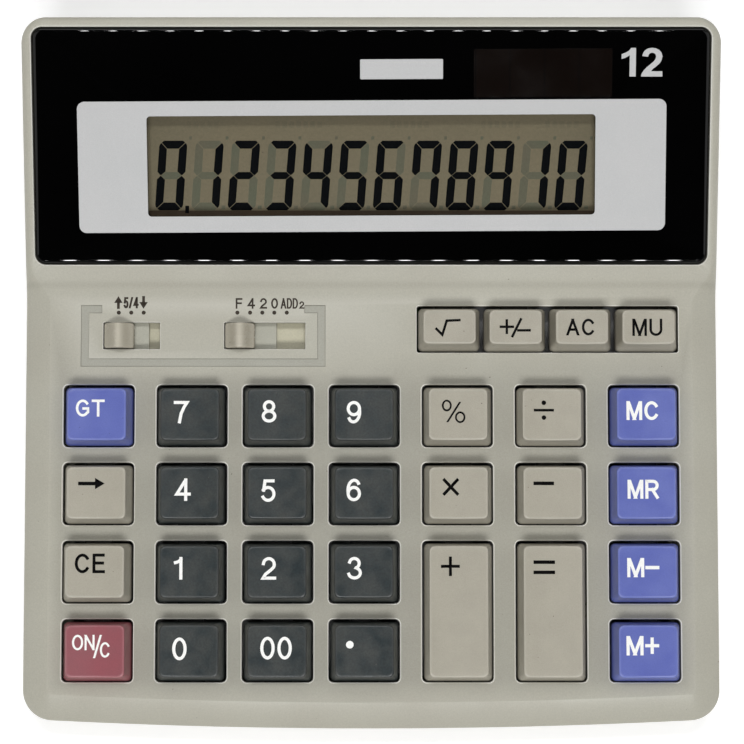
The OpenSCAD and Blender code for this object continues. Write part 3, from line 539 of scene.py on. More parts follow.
@dataclass(frozen=True)
class Finish:
    """A surface of one material with grain, mottled tone, specks, and edges that lighten as partly rubbing and partly a
    painted highlight.

    Attributes:
        name: Name of the material.
        tone: Main colour, 8-bit display values.
        second: Colour that the mottle brings in.
        wear_and_painted_light: Colour of exposed edges, for rubbing and a painted highlight.
        wear: How far exposed edges take that colour, as rubbing and a painted highlight.
        fleck: Colour of the specks.
        rough: Mean roughness.
        rough_spread: How far the mottle moves the roughness each way.
        grain: Size of the grain in millimetres.
        relief: Height of the grain in millimetres.
        mottle: Size of the mottle in millimetres.
        metallic: Metalness.
        coat: Weight of a clear coat.
        ior: Index of refraction.
        alpha: Opacity.
        contrast: How far the grain lightens and darkens the colour.
        glow: Light that the surface gives off.
    """

    name: str
    tone: Colour
    second: Colour
    wear_and_painted_light: Colour = (255, 255, 255)
    wear: float = 0.0
    fleck: Colour = (90, 84, 74)
    rough: float = 0.5
    rough_spread: float = 0.06
    grain: float = 0.35
    relief: float = 0.012
    mottle: float = 18.0
    metallic: float = 0.0
    coat: float = 0.0
    ior: float = 1.47
    alpha: float = 1.0
    contrast: float = 0.07
    glow: float = 0.0

    def material(self) -> bpy.types.Material:
        """Gives the finish's material, and builds its nodes the first time.

        Returns:
            The material.
        """
        made = bpy.data.materials.get(self.name)
        if made:
            return made
        material = bpy.data.materials.new(self.name)
        material.use_nodes = True
        sh = Shader(material.node_tree)
        sh.tree.nodes.clear()
        place = sh.add("ShaderNodeTexCoord").outputs["Object"]
        grain = sh.add(
            "ShaderNodeGroup",
            {"Vector": place, "Grain": 1 / (self.grain * MM), "Mottle": 1 / (self.mottle * MM)},
            node_tree=Effect.GRAIN.group(),
        ).outputs
        tone = sh.add(
            "ShaderNodeGroup",
            {
                "Tone": linear(self.tone), "Second": linear(self.second), "Fleck": linear(self.fleck),
                "Contrast": self.contrast, **{key: grain[key] for key in ("Mottle", "Height", "Speck")},
            },
            node_tree=Effect.TONE.group(),
        ).outputs[0]
        wear = sh.add(
            "ShaderNodeGroup",
            {
                "Colour": self.pattern(sh, place, tone), "Worn": linear(self.wear_and_painted_light), "Amount": self.wear,
                "Edge": sh.add("ShaderNodeAttribute", attribute_name="edge").outputs["Fac"],
                "Mottle": grain["Mottle"],
            },
            node_tree=Effect.WEAR.group(),
        ).outputs[0]
        smoothest, roughest = max(self.rough - self.rough_spread, 0.01), self.rough + self.rough_spread
        rough = {"Value": grain["Mottle"], "To Min": smoothest, "To Max": roughest}
        bump = {"Height": grain["Height"], "Distance": self.relief * MM, "Strength": 1.0}
        surface = sh.add("ShaderNodeBsdfPrincipled", {
            "Base Color": wear,
            "Roughness": sh.add("ShaderNodeMapRange", rough).outputs[0],
            "Normal": sh.add("ShaderNodeBump", bump).outputs[0],
            "Metallic": self.metallic, "IOR": self.ior, "Alpha": self.alpha,
            "Coat Weight": self.coat, "Coat Roughness": 0.05,
            "Emission Color": linear(self.tone), "Emission Strength": self.glow,
        })
        sh.add("ShaderNodeOutputMaterial", {0: surface.outputs[0]})
        return material

    def pattern(self, sh: Shader, place: Socket, colour: Socket) -> Socket:
        """Gives the colour as it is; a patterned finish draws on it here."""
        return colour


@dataclass(frozen=True)
class Striped(Finish):
    """A finish with thin stripes, such as cell borders or board tracks.

    The pitch is in millimetres, the width a share of it, and the stripes follow each other along x (0) or y (1).
    """

    pitch: float = 7.0
    width: float = 0.05
    stripe: Colour = (60, 48, 40)
    along: int = 0

    def pattern(self, sh: Shader, place: Socket, colour: Socket) -> Socket:
        """Draws a stripe wherever the fractional part of the place over the pitch is small."""
        phase = sh.math("FRACT", sh.math("DIVIDE", sh.axis(place, self.along), self.pitch * MM))
        return sh.mix(sh.math("LESS_THAN", phase, self.width), colour, linear(self.stripe))


@dataclass(frozen=True)
class CreaseShaded(Finish):
    """A finish with painted shade along a crease across the object.

    The crease is a depth and the reach a distance each way, in millimetres; the last field is the share of painted
    shade at the crease.
    """

    crease: float = 0.0
    reach: float = 1.3
    painted_shade_colour: Colour = (120, 116, 104)
    shade_amount: float = 0.16

    def pattern(self, sh: Shader, place: Socket, colour: Socket) -> Socket:
        """Mixes the painted shade in by 1 - distance / reach, eased at both ends."""
        off = sh.math("ABSOLUTE", sh.math("SUBTRACT", sh.axis(place, 1), self.crease * MM))
        near = {"Value": off, "From Max": self.reach * MM, "To Min": self.shade_amount, "To Max": 0.0}
        share = sh.add("ShaderNodeMapRange", near, interpolation_type="SMOOTHSTEP").outputs[0]
        return sh.mix(share, colour, linear(self.painted_shade_colour))


class Palette(Enum):
    """The finishes of the calculator's pieces."""

    # The case moulding darkens along the crease below the display as painted shade; its lighter edge colour serves
    # rubbing and painted highlights
    CASE = CreaseShaded(
        "case_moulding", (176, 174, 161), (171, 168, 155), (232, 231, 223), 1.0, rough=0.46, grain=0.3,
        relief=0.006, crease=19.88,
    )
    GROOVE = Finish("groove_floor", (164, 163, 152), (160, 159, 148), rough=0.55, grain=0.3, relief=0.006, mottle=9.0)
    APRON = Finish("apron_moulding", (175, 174, 161), (169, 168, 155), rough=0.45, grain=0.3, relief=0.005, mottle=7.0)
    BASE = Finish("base_moulding", (172, 169, 156), (165, 161, 148), (205, 203, 194), 0.35, grain=0.3, relief=0.008)
    BEIGE = Finish(
        "beige_key", (170, 165, 151), (162, 157, 143), (208, 204, 191), 0.38, rough=0.38, grain=0.22,
        relief=0.004, mottle=6.0,
    )
    BLUE = Finish(
        "blue_key", (90, 101, 175), (97, 109, 180), (146, 157, 218), 0.4, (70, 76, 130), 0.36, grain=0.22,
        relief=0.004, mottle=5.0,
    )
    RED = Finish(
        "red_key", (147, 80, 88), (138, 77, 84), (198, 142, 147), 0.4, (96, 58, 62), 0.36, grain=0.22,
        relief=0.004, mottle=5.0,
    )
    DARK = Finish(
        "dark_key", (31, 41, 44), (46, 50, 48), (92, 92, 90), 0.35, (84, 80, 74), 0.4, 0.08, 0.42, mottle=3.6,
        contrast=0.3,
    )
    WHITE_INK = Finish("white_ink", (249, 249, 246), (243, 243, 240), rough=0.42, grain=0.2, relief=0.002, mottle=2.0)
    BLACK_INK = Finish(
        "black_ink", (6, 5, 5), (11, 10, 10), fleck=(30, 28, 25), rough=0.3, grain=0.2, relief=0.002, mottle=2.0,
        ior=1.18,
    )
    PANEL_INK = Finish(
        "panel_ink", (50, 41, 33), (60, 51, 42), fleck=(80, 72, 62), grain=0.2, relief=0.002, mottle=1.5, ior=1.3
    )
    LENS = Finish("black_panel", (1, 1, 1), (2, 2, 2), (8, 8, 9), 0.2, (10, 10, 10), 0.02, 0.006, 0.6, 0.0002, 30.0)
    PANE = Finish(
        "clear_pane", (8, 8, 8), (6, 6, 6), fleck=(16, 16, 16), rough=0.03, rough_spread=0.01, grain=0.6,
        relief=0.0002, mottle=30.0, alpha=0.06,
    )
    SILVER = Finish(
        "silver_print", (192, 192, 192), (187, 188, 188), fleck=(183, 183, 185), rough=0.4, grain=0.18,
        relief=0.001, mottle=12.0, coat=0.3,
    )
    LCD = Finish(
        "lcd_face", (127, 118, 95), (120, 113, 92), fleck=(100, 92, 76), rough=0.4, grain=0.5, relief=0.001,
        mottle=22.0, coat=0.3, ior=1.2,
    )
    SEGMENT = Finish(
        "lcd_segment", (11, 14, 16), (16, 17, 18), fleck=(20, 20, 20), rough=0.6, grain=0.4, relief=0.001,
        mottle=6.0, ior=1.06,
    )
    GHOST = Finish(
        "lcd_ghost", (97, 101, 83), (105, 101, 84), fleck=(96, 94, 78), rough=0.45, grain=0.4, relief=0.001,
        mottle=9.0, ior=1.2,
    )
    HINT = Finish(
        "lcd_hint", (117, 111, 90), (119, 111, 90), fleck=(108, 102, 84), rough=0.45, grain=0.4, relief=0.001,
        mottle=3.0, ior=1.2,
    )
    # A dark strip for the crystal's edge sealing with painted shadow of the window's front wall
    SEAL_AND_SHADOW = Finish("lcd_edge", (82, 70, 57), (76, 66, 54), fleck=(64, 55, 46), grain=0.4, relief=0.001, ior=1.15)
    SOLAR = Striped(
        "solar_window", (15, 10, 8), (17, 12, 10), fleck=(22, 16, 13), rough=0.1, grain=0.5, relief=0.0005,
        mottle=9.0, coat=0.5, pitch=7.4, width=0.03, stripe=(9, 8, 8),
    )
    CREAM = Finish("cream_guide", (192, 188, 165), (186, 182, 159), (196, 192, 172), 0.3, rough=0.45, relief=0.005)
    KNOB = Finish(
        "knob_moulding", (166, 160, 144), (159, 153, 138), (206, 200, 184), 0.6, rough=0.26, grain=0.2,
        relief=0.003, mottle=4.0,
    )
    RUBBER = Finish("foot_rubber", (52, 51, 50), (62, 60, 58), (90, 88, 84), 0.4, (80, 78, 74), 0.75, 0.08, 0.4, 0.02)
    KEYPAD = Finish("keypad_rubber", (86, 86, 85), (96, 95, 93), fleck=(110, 108, 104), rough=0.7, relief=0.01)
    HOLDER = Finish("holder_moulding", (26, 26, 26), (34, 33, 32), fleck=(48, 47, 45), rough=0.55, relief=0.01)
    STRIP = Striped(
        "contact_rubber", (36, 36, 37), (42, 42, 42), fleck=(56, 56, 55), rough=0.7, pitch=0.5, width=0.5,
        stripe=(84, 84, 84),
    )
    BOARD = Striped(
        "green_board", (70, 96, 56), (62, 86, 50), fleck=(120, 130, 96), rough=0.4, pitch=2.54, width=0.28,
        stripe=(92, 120, 70), along=1,
    )
    EPOXY = Finish("potting_resin", (14, 14, 14), (20, 20, 20), fleck=(30, 30, 30), rough=0.25, relief=0.004)
    GLASS = Finish("rear_glass", (98, 92, 78), (92, 87, 74), fleck=(84, 78, 66), rough=0.12, relief=0.0005)
    FILM = Finish(
        "reflector_film", (150, 146, 134), (140, 137, 126), fleck=(120, 117, 108), rough=0.35, relief=0.002,
        metallic=0.7,
    )
    METAL = Finish(
        "spring_metal", (186, 186, 184), (168, 168, 166), (214, 214, 212), 0.4, (120, 116, 108), 0.3, 0.08, 0.3,
        0.003, 4.0, 1.0,
    )
    CELL = Striped(
        "cell_wrap", (64, 66, 70), (58, 60, 64), fleck=(86, 86, 88), rough=0.35, pitch=40.0, width=0.22,
        stripe=(150, 112, 70),
    )
    WIRE = Finish("wire_cover", (140, 44, 40), (124, 40, 38), fleck=(96, 40, 36), rough=0.45, relief=0.004)
    RIBBON = Striped(
        "flat_cable", (206, 196, 170), (196, 186, 160), fleck=(170, 160, 136), rough=0.4, pitch=1.27, width=0.45,
        stripe=(168, 150, 112),
    )
    FLOOR = Finish(
        "pale_floor", (250, 250, 250), (248, 248, 248), fleck=(247, 247, 247), rough=0.9, grain=60.0, relief=0.0,
        mottle=400.0, contrast=0.004, glow=0.26,
    )


@dataclass
class Workshop:
    """Puts finished pieces on bodies of the loaded frame, reports them and keeps their names."""

    frame: dict
    pieces: list[str] = field(default_factory=list)

    def dress(self, piece: Thing, body: str, slot: str, finish: Palette, replaces: Sequence[str] = ()) -> None:
        """Gives a piece its finish, the body it rides on and the nodes it stands for.

        Args:
            piece: The piece.
            body: Body that carries it.
            slot: Material slot of the record; not used.
            finish: Finish of the piece.
            replaces: Nodes that the piece replaces.
        """
        self.coat(piece, finish)
        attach(piece, body)
        if replaces:
            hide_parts(*replaces)
        self.report(piece, body)

    def bend(self, piece: Thing, body: str, start: Array, end: Array, slot: str, finish: Palette) -> None:
        """Gives a soft piece its finish, bakes its place into its mesh and reports it with a body.

        Args:
            piece: The piece.
            body: Body named with the piece in the log.
            start: Point where it leaves the housing, in millimetres; not used.
            end: Point from which it would follow the body, in millimetres; not used.
            slot: Material slot of the record; not used.
            finish: Finish of the piece.
        """
        self.coat(piece, finish)
        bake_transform(piece)
        self.report(piece, body)

    def report(self, piece: Thing, body: str) -> None:
        """Notes a finished piece and the body that it follows."""
        self.pieces.append(piece.name)
        log.info("%s on %s: %d faces", piece.name, body, len(piece.data.polygons))

    @staticmethod
    def coat(thing: Thing, finish: Palette) -> None:
        """Makes a finish the only material of an object."""
        thing.data.materials.clear()
        thing.data.materials.append(finish.value.material())

    def copy(self, node: str, name: str, bevel: float) -> Thing:
        """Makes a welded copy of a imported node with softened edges.

        Args:
            node: Node to copy.
            name: Name of the copy.
            bevel: Width of the softened edges in millimetres.

        Returns:
            The copy.
        """
        mesh = self.frame["nodes"][node].data.copy()
        mesh.name = name
        work = bmesh.new()
        work.from_mesh(mesh)
        bmesh.ops.remove_doubles(work, verts=work.verts, dist=WELD)
        bmesh.ops.dissolve_limit(work, angle_limit=math.radians(0.5), verts=work.verts, edges=work.edges)
        work.to_mesh(mesh)
        work.free()
        piece = show(mesh, name, SOFT_ANGLE)
        soft = piece.modifiers.new("soft_edges", "BEVEL")
        soft.width = bevel * MM
        soft.segments = 3
        soft.limit_method = "ANGLE"
        soft.angle_limit = math.radians(SOFT_ANGLE)
        keep_flats(piece)
        return piece

    def paint(self, finish: Palette, *nodes: str) -> None:
        """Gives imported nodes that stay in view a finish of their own."""
        for node in nodes:
            self.coat(self.frame["nodes"][node], finish)


@dataclass(frozen=True)
class CasePlan:
    """Outline and slopes that both case halves share, in millimetres."""

    width: float = 150.0
    key_run: float = 95.4
    display_run: float = 57.8
    front_h: float = 13.0
    key_tilt: float = 5.0
    display_tilt: float = 17.0
    wall: float = 2.0
    front_r: float = 6.5
    rear_r: float = 5.4
    bow: float = 1.7
    roll_w: float = 5.5
    roll_h: float = 4.0
    bevel_h: float = 2.7
    flatness: float = 0.65
    rim_r: float = 1.6
    blend_lead: float = 4.3
    blend_run: float = 8.3
    ramp_run: float = 3.0
    crease_soft: float = 2.0
    seam: float = 7.0
    ceiling: float = 4.0
    shoulder_drop: float = 1.5
    shoulder_step: float = 0.5
    steps_before: Floats = (-3.5, -2.8)
    steps_after: Floats = (4.0, 6.0, 9.0)

    @property
    def depth(self) -> float:
        """Depth of the case on the table."""
        run = self.key_run * math.cos(math.radians(self.key_tilt))
        return run + self.display_run * math.cos(math.radians(self.display_tilt))

    @property
    def keys(self) -> Slope:
        """Plane of the key panel, from the middle of the front edge."""
        return Slope(-self.depth / 2, self.front_h, self.key_tilt)

    @property
    def crease(self) -> Pair:
        """Depth and height of the crease below the display."""
        point = self.keys.place(0.0, self.key_run, 0.0)
        return float(point[1]), float(point[2])

    @property
    def display(self) -> Slope:
        """Plane of the display, from the middle of the crease."""
        return Slope(*self.crease, self.display_tilt)

    @property
    def grades(self) -> Pair:
        """Rise of the key panel and of the display for each millimetre of depth."""
        return math.tan(math.radians(self.key_tilt)), math.tan(math.radians(self.display_tilt))

    def top(self, y: Array) -> Array:
        """Height of the upper surface: two planes joined by a parabola over the soft crease.

        Args:
            y: Depths.

        Returns:
            Heights.
        """
        (crease_y, crease_z), (low, high) = self.crease, self.grades
        t = np.clip(y - crease_y + self.crease_soft, 0, 2 * self.crease_soft)
        past = np.maximum(y - crease_y - self.crease_soft, 0)
        return crease_z + (y - crease_y) * low + (high - low) * (t * t / (4 * self.crease_soft) + past)

    def sharp_top(self, y: Array) -> Array:
        """Height of the two planes with a sharp crease, for the inside."""
        crease_y, crease_z = self.crease
        return crease_z + (y - crease_y) * np.where(y < crease_y, *self.grades)

    def blend(self, y: Array) -> Array:
        """Share of the way from the rolled edge to the display's rim, eased at both ends."""
        t = np.clip((y - self.crease[0] + self.blend_lead) / self.blend_run, 0, 1)
        return t * t * (3 - 2 * t)

    def outline(self) -> Array:
        """Works out the plan: a bowed front, quarter arcs at the corners and straight sides.

        Returns:
            Rows of x, y and the outward normal, from the front's middle round the right side.
        """
        half, front_y, rear_y = self.width / 2, -self.depth / 2, self.depth / 2
        front_half = half - self.front_r
        bow_angle = math.atan(2 * self.bow / front_half)
        join = front_half + self.front_r * math.sin(bow_angle)
        x = np.linspace(0, join, 41)
        lean = np.arctan(2 * self.bow * x / front_half**2)
        front = np.stack([x, front_y + self.bow * (x / front_half) ** 2, np.sin(lean), -np.cos(lean)], axis=1)
        corner_y = front[-1, 1] + self.front_r * math.cos(bow_angle)
        a = np.radians(np.linspace(-90, 0, 17)[1:] * (1 - bow_angle / (math.pi / 2)))
        corner = np.stack(
            [front_half + self.front_r * np.cos(a), corner_y + self.front_r * np.sin(a), np.cos(a), np.sin(a)], axis=1
        )
        near = self.crease_soft * np.linspace(-1, 1, 5)
        steps = np.array([-self.blend_lead, *self.steps_before, *near, self.ramp_run, *self.steps_after])
        side = np.stack([0 * steps + half, self.crease[0] + steps, 0 * steps + 1, 0 * steps], axis=1)
        b = np.radians(np.linspace(0, 90, 15))
        r = self.rear_r
        rear = np.stack([half - r + r * np.cos(b), rear_y - r + r * np.sin(b), np.cos(b), np.sin(b)], axis=1)
        right = chain(front, corner, side, rear)
        return chain(right, right[:0:-1] * np.array([-1, 1, -1, 1]))

    def level(self, inset: float, z: float) -> Array:
        """A level ring of the outline, moved inwards."""
        p = self.outline()
        q = p[:, :2] - p[:, 2:] * inset
        return np.column_stack([q, np.full(len(q), z)])

    def rolled(self, angle: float) -> Array:
        """A ring of the rolled edge: inset w (1 - cos^e), drop h (1 - sin^e) of a curve that blends to the rim.

        The power e is 1 for the rim's quarter round and larger at the front, where the roll is nearly a flat bevel.

        Args:
            angle: Angle round the edge in degrees, 0 at the side and 90 on top.

        Returns:
            Points of the ring.
        """
        p = self.outline()
        share, a = self.blend(p[:, 1]), math.radians(angle)
        wide = self.roll_w + (self.rim_r - self.roll_w) * share
        deep = self.bevel_h + (self.rim_r - self.bevel_h) * share
        power = 1 + self.flatness * (1 - share)
        q = p[:, :2] - p[:, 2:] * (wide * (1 - max(math.cos(a), 0.0) ** power))[:, None]
        return np.column_stack([q, self.top(q[:, 1]) - deep * (1 - math.sin(a) ** power)])

    def inner(self, extra: float, shoulder: bool) -> Array:
        """A ring of the inside: the shoulder below the rolled edge, or the edge of the ceiling.

        Args:
            extra: Share of the rolled edge's width to move inwards beyond the wall.
            shoulder: Whether to give the shoulder's drop rather than the ceiling's.

        Returns:
            Points of the ring.
        """
        p = self.outline()
        share = self.blend(p[:, 1])
        wide = self.roll_w + (self.rim_r - self.roll_w) * share
        deep = self.roll_h + (self.rim_r - self.roll_h) * share
        q = p[:, :2] - p[:, 2:] * (self.wall + extra * wide)[:, None]
        t = np.clip((q[:, 1] - self.crease[0]) / self.ramp_run, 0, 1)
        key = self.wall / math.cos(math.radians(self.key_tilt))
        drop = (1 - t) * key + t * self.ceiling / math.cos(math.radians(self.display_tilt))
        if shoulder:
            drop = np.maximum(deep + self.shoulder_drop, drop + self.shoulder_step)
        return np.column_stack([q, self.sharp_top(q[:, 1]) - drop])


@dataclass(frozen=True)
class Opening:
    """A rounded opening in the key panel: middle, half sizes, radii of corners and rim, share of painted shade on its
    walls.
    """

    u: float
    v: float
    half_w: float
    half_d: float
    corner: float
    rim: float
    wall_shade: float = 1.0

    def loop(self) -> Array:
        """The opening's outline."""
        return OPENING_LOOP.loop(self.half_w, self.half_d, self.corner, self.u, self.v)


@dataclass(frozen=True)
class KeyField:
    """Places of the keys and switches on the key panel, in millimetres.

    A pair named edge is the corner radius and the rim radius of an opening.
    """

    columns: Floats = (-58.8, -38.7, -20.1, -1.5, 18.6, 38.7, 58.8)
    tall_columns: tuple[int, ...] = (4, 5)
    first_row: float = 16.5
    row_pitch: float = 16.8
    opening: Pair = (15.3, 13.4)
    key_edge: Pair = (1.0, 0.32)
    small_x: float = 38.15
    small_pitch: float = 14.2
    small_v: float = 85.7
    small_slot: Pair = (56.6, 10.1)
    small_edge: Pair = (0.5, 0.22)
    switch_v: float = 84.3
    slot_d: float = 5.8
    slots: tuple[Pair, ...] = ((-58.0, 12.29), (-31.85, 17.59))
    slot_edge: Pair = (0.15, 0.16)

    def row(self, number: int) -> float:
        """Place of a row's middle up the slope; row 4 is the front row."""
        return self.first_row + (4 - number) * self.row_pitch

    def board_screws(self) -> list[Pair]:
        """Places of the key board's screws, each in the middle of four keys."""
        across = [(self.columns[a] + self.columns[b]) / 2 for a, b in ((0, 1), (3, 4), (5, 6))]
        along = [(self.row(r) + self.row(r + 1)) / 2 for r in (1, 3)]
        return [(u, v) for u in across for v in along]

    def openings(self) -> list[Opening]:
        """Lists the openings of the key panel.

        Returns:
            Key openings, the slot of the small keys and the switch slots.
        """
        half_w, half_d = self.opening[0] / 2, self.opening[1] / 2
        single = [
            Opening(u, self.row(r), half_w, half_d, *self.key_edge)
            for c, u in enumerate(self.columns)
            for r in (1, 2, 3, 4)
            if not (c in self.tall_columns and r > 2)
        ]
        between, tall_d = (self.row(3) + self.row(4)) / 2, half_d + self.row_pitch / 2
        tall = [Opening(self.columns[c], between, half_w, tall_d, *self.key_edge) for c in self.tall_columns]
        wide, deep = self.small_slot
        small = [Opening(self.small_x, self.small_v, wide / 2, deep / 2, *self.small_edge)]
        slots = [
            Opening(left + wide / 2, self.switch_v, wide / 2, self.slot_d / 2, *self.slot_edge, wall_shade=0.0)
            for left, wide in self.slots
        ]
        return single + tall + small + slots


@dataclass
class Assembly:
    """A sub-assembly: the workshop that dresses its pieces, the plan of the case and the places of the keys."""

    shop: Workshop
    plan: CasePlan
    field: KeyField

    def piece(
        self, skin: Skin, name: str, slot: str, finish: Palette, replaces: Sequence[str] = (), body: str = "housing"
    ) -> None:
        """Builds a skin and dresses it as a piece, on the housing unless another body is named."""
        self.shop.dress(skin.build(name), body, slot, finish, replaces)


@dataclass(frozen=True)
class Post:
    """A hollow screw post: radius, bore radius, top, foot and the end of the bore, in millimetres."""

    radius: float
    bore: float
    top: float
    foot: float
    end: float

    def profile(self) -> list[Pair]:
        """Radius and height, down the outside from the top to the foot and up the bore to its end."""
        outside = [(0, self.top), (self.radius, self.top), (self.radius, self.foot)]
        return [*outside, (self.bore, self.foot), (self.bore, self.end), (0, self.end)]


@dataclass
class CaseTop(Assembly):
    """The upper shell with its openings, engraved bracket, display seat and screw posts.

    A box is a middle and half sizes, and the groove is its left, right, front and rear.
    """

    lens_half: Pair = (72.8, 25.5)
    lens_middle: float = 29.85
    lens_corner: float = 2.35
    recess: float = 2.2
    windows: tuple[Box, ...] = ((0.0, 25.9, 48.8, 11.35), (36.8, 45.6, 16.8, 6.1))
    window_corner: float = 0.4
    groove: Box = (-62.85, -9.95, 77.65, 90.95)
    groove_w: float = 1.7
    groove_stub: float = 4.5
    groove_depth: float = 0.3
    groove_lip: float = 0.12
    seam_lip: tuple[Pair, ...] = ((0.22, 0.0), (0.05, 0.07), (0.0, 0.25))
    lip_wear_and_highlight: Floats = (0.4, 0.6, 0.3)
    ceiling_share: float = 0.75
    panel_shade: float = 0.2
    panel_shade_reach: float = 0.6
    tolerance: float = 0.01
    board_post: Post = Post(2.1, 1.02, -1.0, -9.0, -4.1)
    display_post: Post = Post(2.1, 1.02, -3.1, -8.6, -4.0)
    display_posts: Floats = (14.4, 37.4)
    display_post_u: float = 57.9
    case_posts: Floats = (-61.96, -0.12, 63.96)
    case_post_x: float = 69.5
    case_post_sink: float = 1.7

    def bracket(self) -> Array:
        """Outline of the engraved bracket, counter-clockwise, open at the rear."""
        left, right, front, rear = self.groove
        g, stub = self.groove_w, self.groove_stub
        return np.array([
            [left, front], [right, front], [right, rear], [right - stub, rear], [right - stub, rear - g],
            [right - g, rear - g], [right - g, front + g], [left + g, front + g], [left + g, rear - g],
            [left + stub, rear - g], [left + stub, rear], [left, rear],
        ])

    def build(self) -> None:
        """Lofts the border over the outline, fills both planes and closes the inside."""
        skin, plan = Skin(), self.plan
        angles = np.linspace(0, 90, 19)
        edge = plan.inner(self.ceiling_share, False)
        rings = [edge, plan.inner(0.0, True), plan.level(plan.wall, plan.seam)]
        rings += [plan.level(inset, plan.seam + rise) for inset, rise in self.seam_lip]
        rings += [plan.rolled(a) for a in angles]
        # The seam's lip lightens as rubbing and a painted highlight
        skin.grid(np.stack(rings), True, [0, 0, 0, *self.lip_wear_and_highlight] + [0.0] * len(angles))
        self.panels(skin, plan.rolled(90.0))
        self.ceilings(skin, edge)
        self.posts(skin)
        self.piece(skin, "case_top", "case", Palette.CASE, ["upper_case"])
        floor, depth = Skin(), -self.groove_depth
        floor.plate(plan.keys, offset_loop(self.bracket(), -self.groove_lip), [], depth - 0.1, depth + 0.02)
        self.piece(floor, "groove_floor", "case", Palette.GROOVE)

    def painted_panel_shade(self, points: Array) -> Array:
        """Painted shade on the key panel, as a negative edge value: full among the large keys and none outside their
        field.
        """
        f, (wide, deep) = self.field, self.field.opening
        across = np.abs(points[..., 0]) < f.columns[-1] + self.panel_shade_reach * wide
        along = points[..., 1] < f.row(1) + self.panel_shade_reach * deep
        return -self.panel_shade * (across & along & (points[..., 1] > f.row(4) - self.panel_shade_reach * deep))

    def window_loops(self) -> list[Array]:
        """Outlines of the openings behind the display's window and the solar window."""
        return [OPENING_LOOP.loop(hw, hd, self.window_corner, u, s) for u, s, hw, hd in self.windows]

    @staticmethod
    def strip(skin: Skin, ring: Array, near: Array) -> None:
        """Joins the left and right points of a ring across the case, for the masked depths."""
        right = ring[near & (ring[:, 0] > 0)]
        left = ring[near & (ring[:, 0] < 0)][::-1]
        skin.grid(np.stack([left, right], axis=1), False)

    def panels(self, skin: Skin, ring: Array) -> None:
        """Fills the key panel, the soft crease and the display seat inside the border's upper ring.

        Args:
            skin: Skin to add to.
            ring: Upper ring of the border.
        """
        plan, soft, crease = self.plan, self.plan.crease_soft, self.plan.crease[0]
        y = plan.outline()[:, 1]
        openings, bracket, lip = self.field.openings(), self.bracket(), self.groove_lip
        holes = [offset_loop(o.loop(), o.rim) for o in openings] + [offset_loop(bracket, lip)]
        outer = plan.keys.flatten(contiguous(ring, y < crease - soft + self.tolerance))
        # The key panel darkens among the keys as painted shade
        skin.flat(plan.keys, outer, holes, 0.0, self.painted_panel_shade)
        for o in openings:
            turn = np.radians(np.linspace(90, 0, 6))
            steps = [(o.rim * (1 - math.cos(a)), -o.rim * (1 - math.sin(a))) for a in turn]
            # The rim's rounding lightens as a painted highlight, and the walls below darken as painted shade
            wear_and_painted_light = np.sin(2 * turn) ** 0.5
            wear_and_painted_light[0] = self.painted_panel_shade(np.array([o.u, o.v]))
            deep = [(0.0, -0.6 * plan.wall), (0.0, -plan.wall)]
            skin.wall(plan.keys, o.loop(), [*steps, *deep], [*wear_and_painted_light, -0.5 * o.wall_shade, -0.8 * o.wall_shade])
        depth = self.groove_depth
        steps = [(lip, 0.0), (0.04, -0.03), (0, -lip), (0, -depth), (-lip, -depth)]
        # The groove's lip lightens as a painted highlight and its walls darken as painted shade
        skin.wall(plan.keys, bracket, steps, [0.2, 0.2, -0.3, -0.4, -0.4])
        skin.flat(plan.keys, offset_loop(bracket, -lip), [], -depth)
        self.strip(skin, ring, np.abs(y - crease) < soft + self.tolerance)
        seat = SEAT_LOOP.loop(*self.lens_half, self.lens_corner, 0.0, self.lens_middle)
        rim = [(0.25, 0), (0.11, -0.03), (0.03, -0.11), (0, -0.25), (0, -self.recess)]
        outer = plan.display.flatten(contiguous(ring, y > crease + soft - self.tolerance))
        skin.flat(plan.display, outer, [offset_loop(seat, rim[0][0])], 0.0)
        # The seat's rounded rim lightens as a painted highlight
        skin.wall(plan.display, seat, rim, [0.2, 0.9, 0.9, 0.2, 0])
        skin.flat(plan.display, seat, self.window_loops(), -self.recess)
        for loop in self.window_loops():
            skin.wall(plan.display, loop, [(0, -self.recess), (0, -plan.ceiling)], [0, 0])

    def ceilings(self, skin: Skin, ring: Array) -> None:
        """Fills the inside's ceiling: key panel, ramp under the crease and display.

        Args:
            skin: Skin to add to.
            ring: Edge of the ceiling.
        """
        plan, crease = self.plan, self.plan.crease[0]
        y, ramp_end = plan.outline()[:, 1], crease + plan.ramp_run
        outer = plan.keys.flatten(contiguous(ring, y < crease + self.tolerance))
        skin.flat(plan.keys, outer, [o.loop() for o in self.field.openings()], -plan.wall)
        self.strip(skin, ring, (y > crease - self.tolerance) & (y < ramp_end + self.tolerance))
        outer = plan.display.flatten(contiguous(ring, y > ramp_end - self.tolerance))
        skin.flat(plan.display, outer, self.window_loops(), -plan.ceiling)

    def posts(self, skin: Skin) -> None:
        """Adds the screw posts under the key panel, along the sides and under the display."""
        plan = self.plan
        for u, v in self.field.board_screws():
            skin.turned(plan.keys, u, v, self.board_post.profile())
        for u in (-self.case_post_x, self.case_post_x):
            for y in self.case_posts:
                top = float(plan.sharp_top(np.array(y))) - self.case_post_sink
                skin.turned(LEVEL, u, y, Post(2.7, 1.27, top, 8.0, 12.1).profile())
        for u in (-self.display_post_u, self.display_post_u):
            for s in self.display_posts:
                skin.turned(plan.display, u, s, self.display_post.profile())


class KeyColour(Enum):
    """Colours of the keys: finish, record slot and ink."""

    BEIGE = (Palette.BEIGE, "key_beige", Palette.BLACK_INK)
    BLUE = (Palette.BLUE, "key_blue", Palette.WHITE_INK)
    RED = (Palette.RED, "key_red", Palette.WHITE_INK)
    DARK = (Palette.DARK, "key_dark", Palette.WHITE_INK)


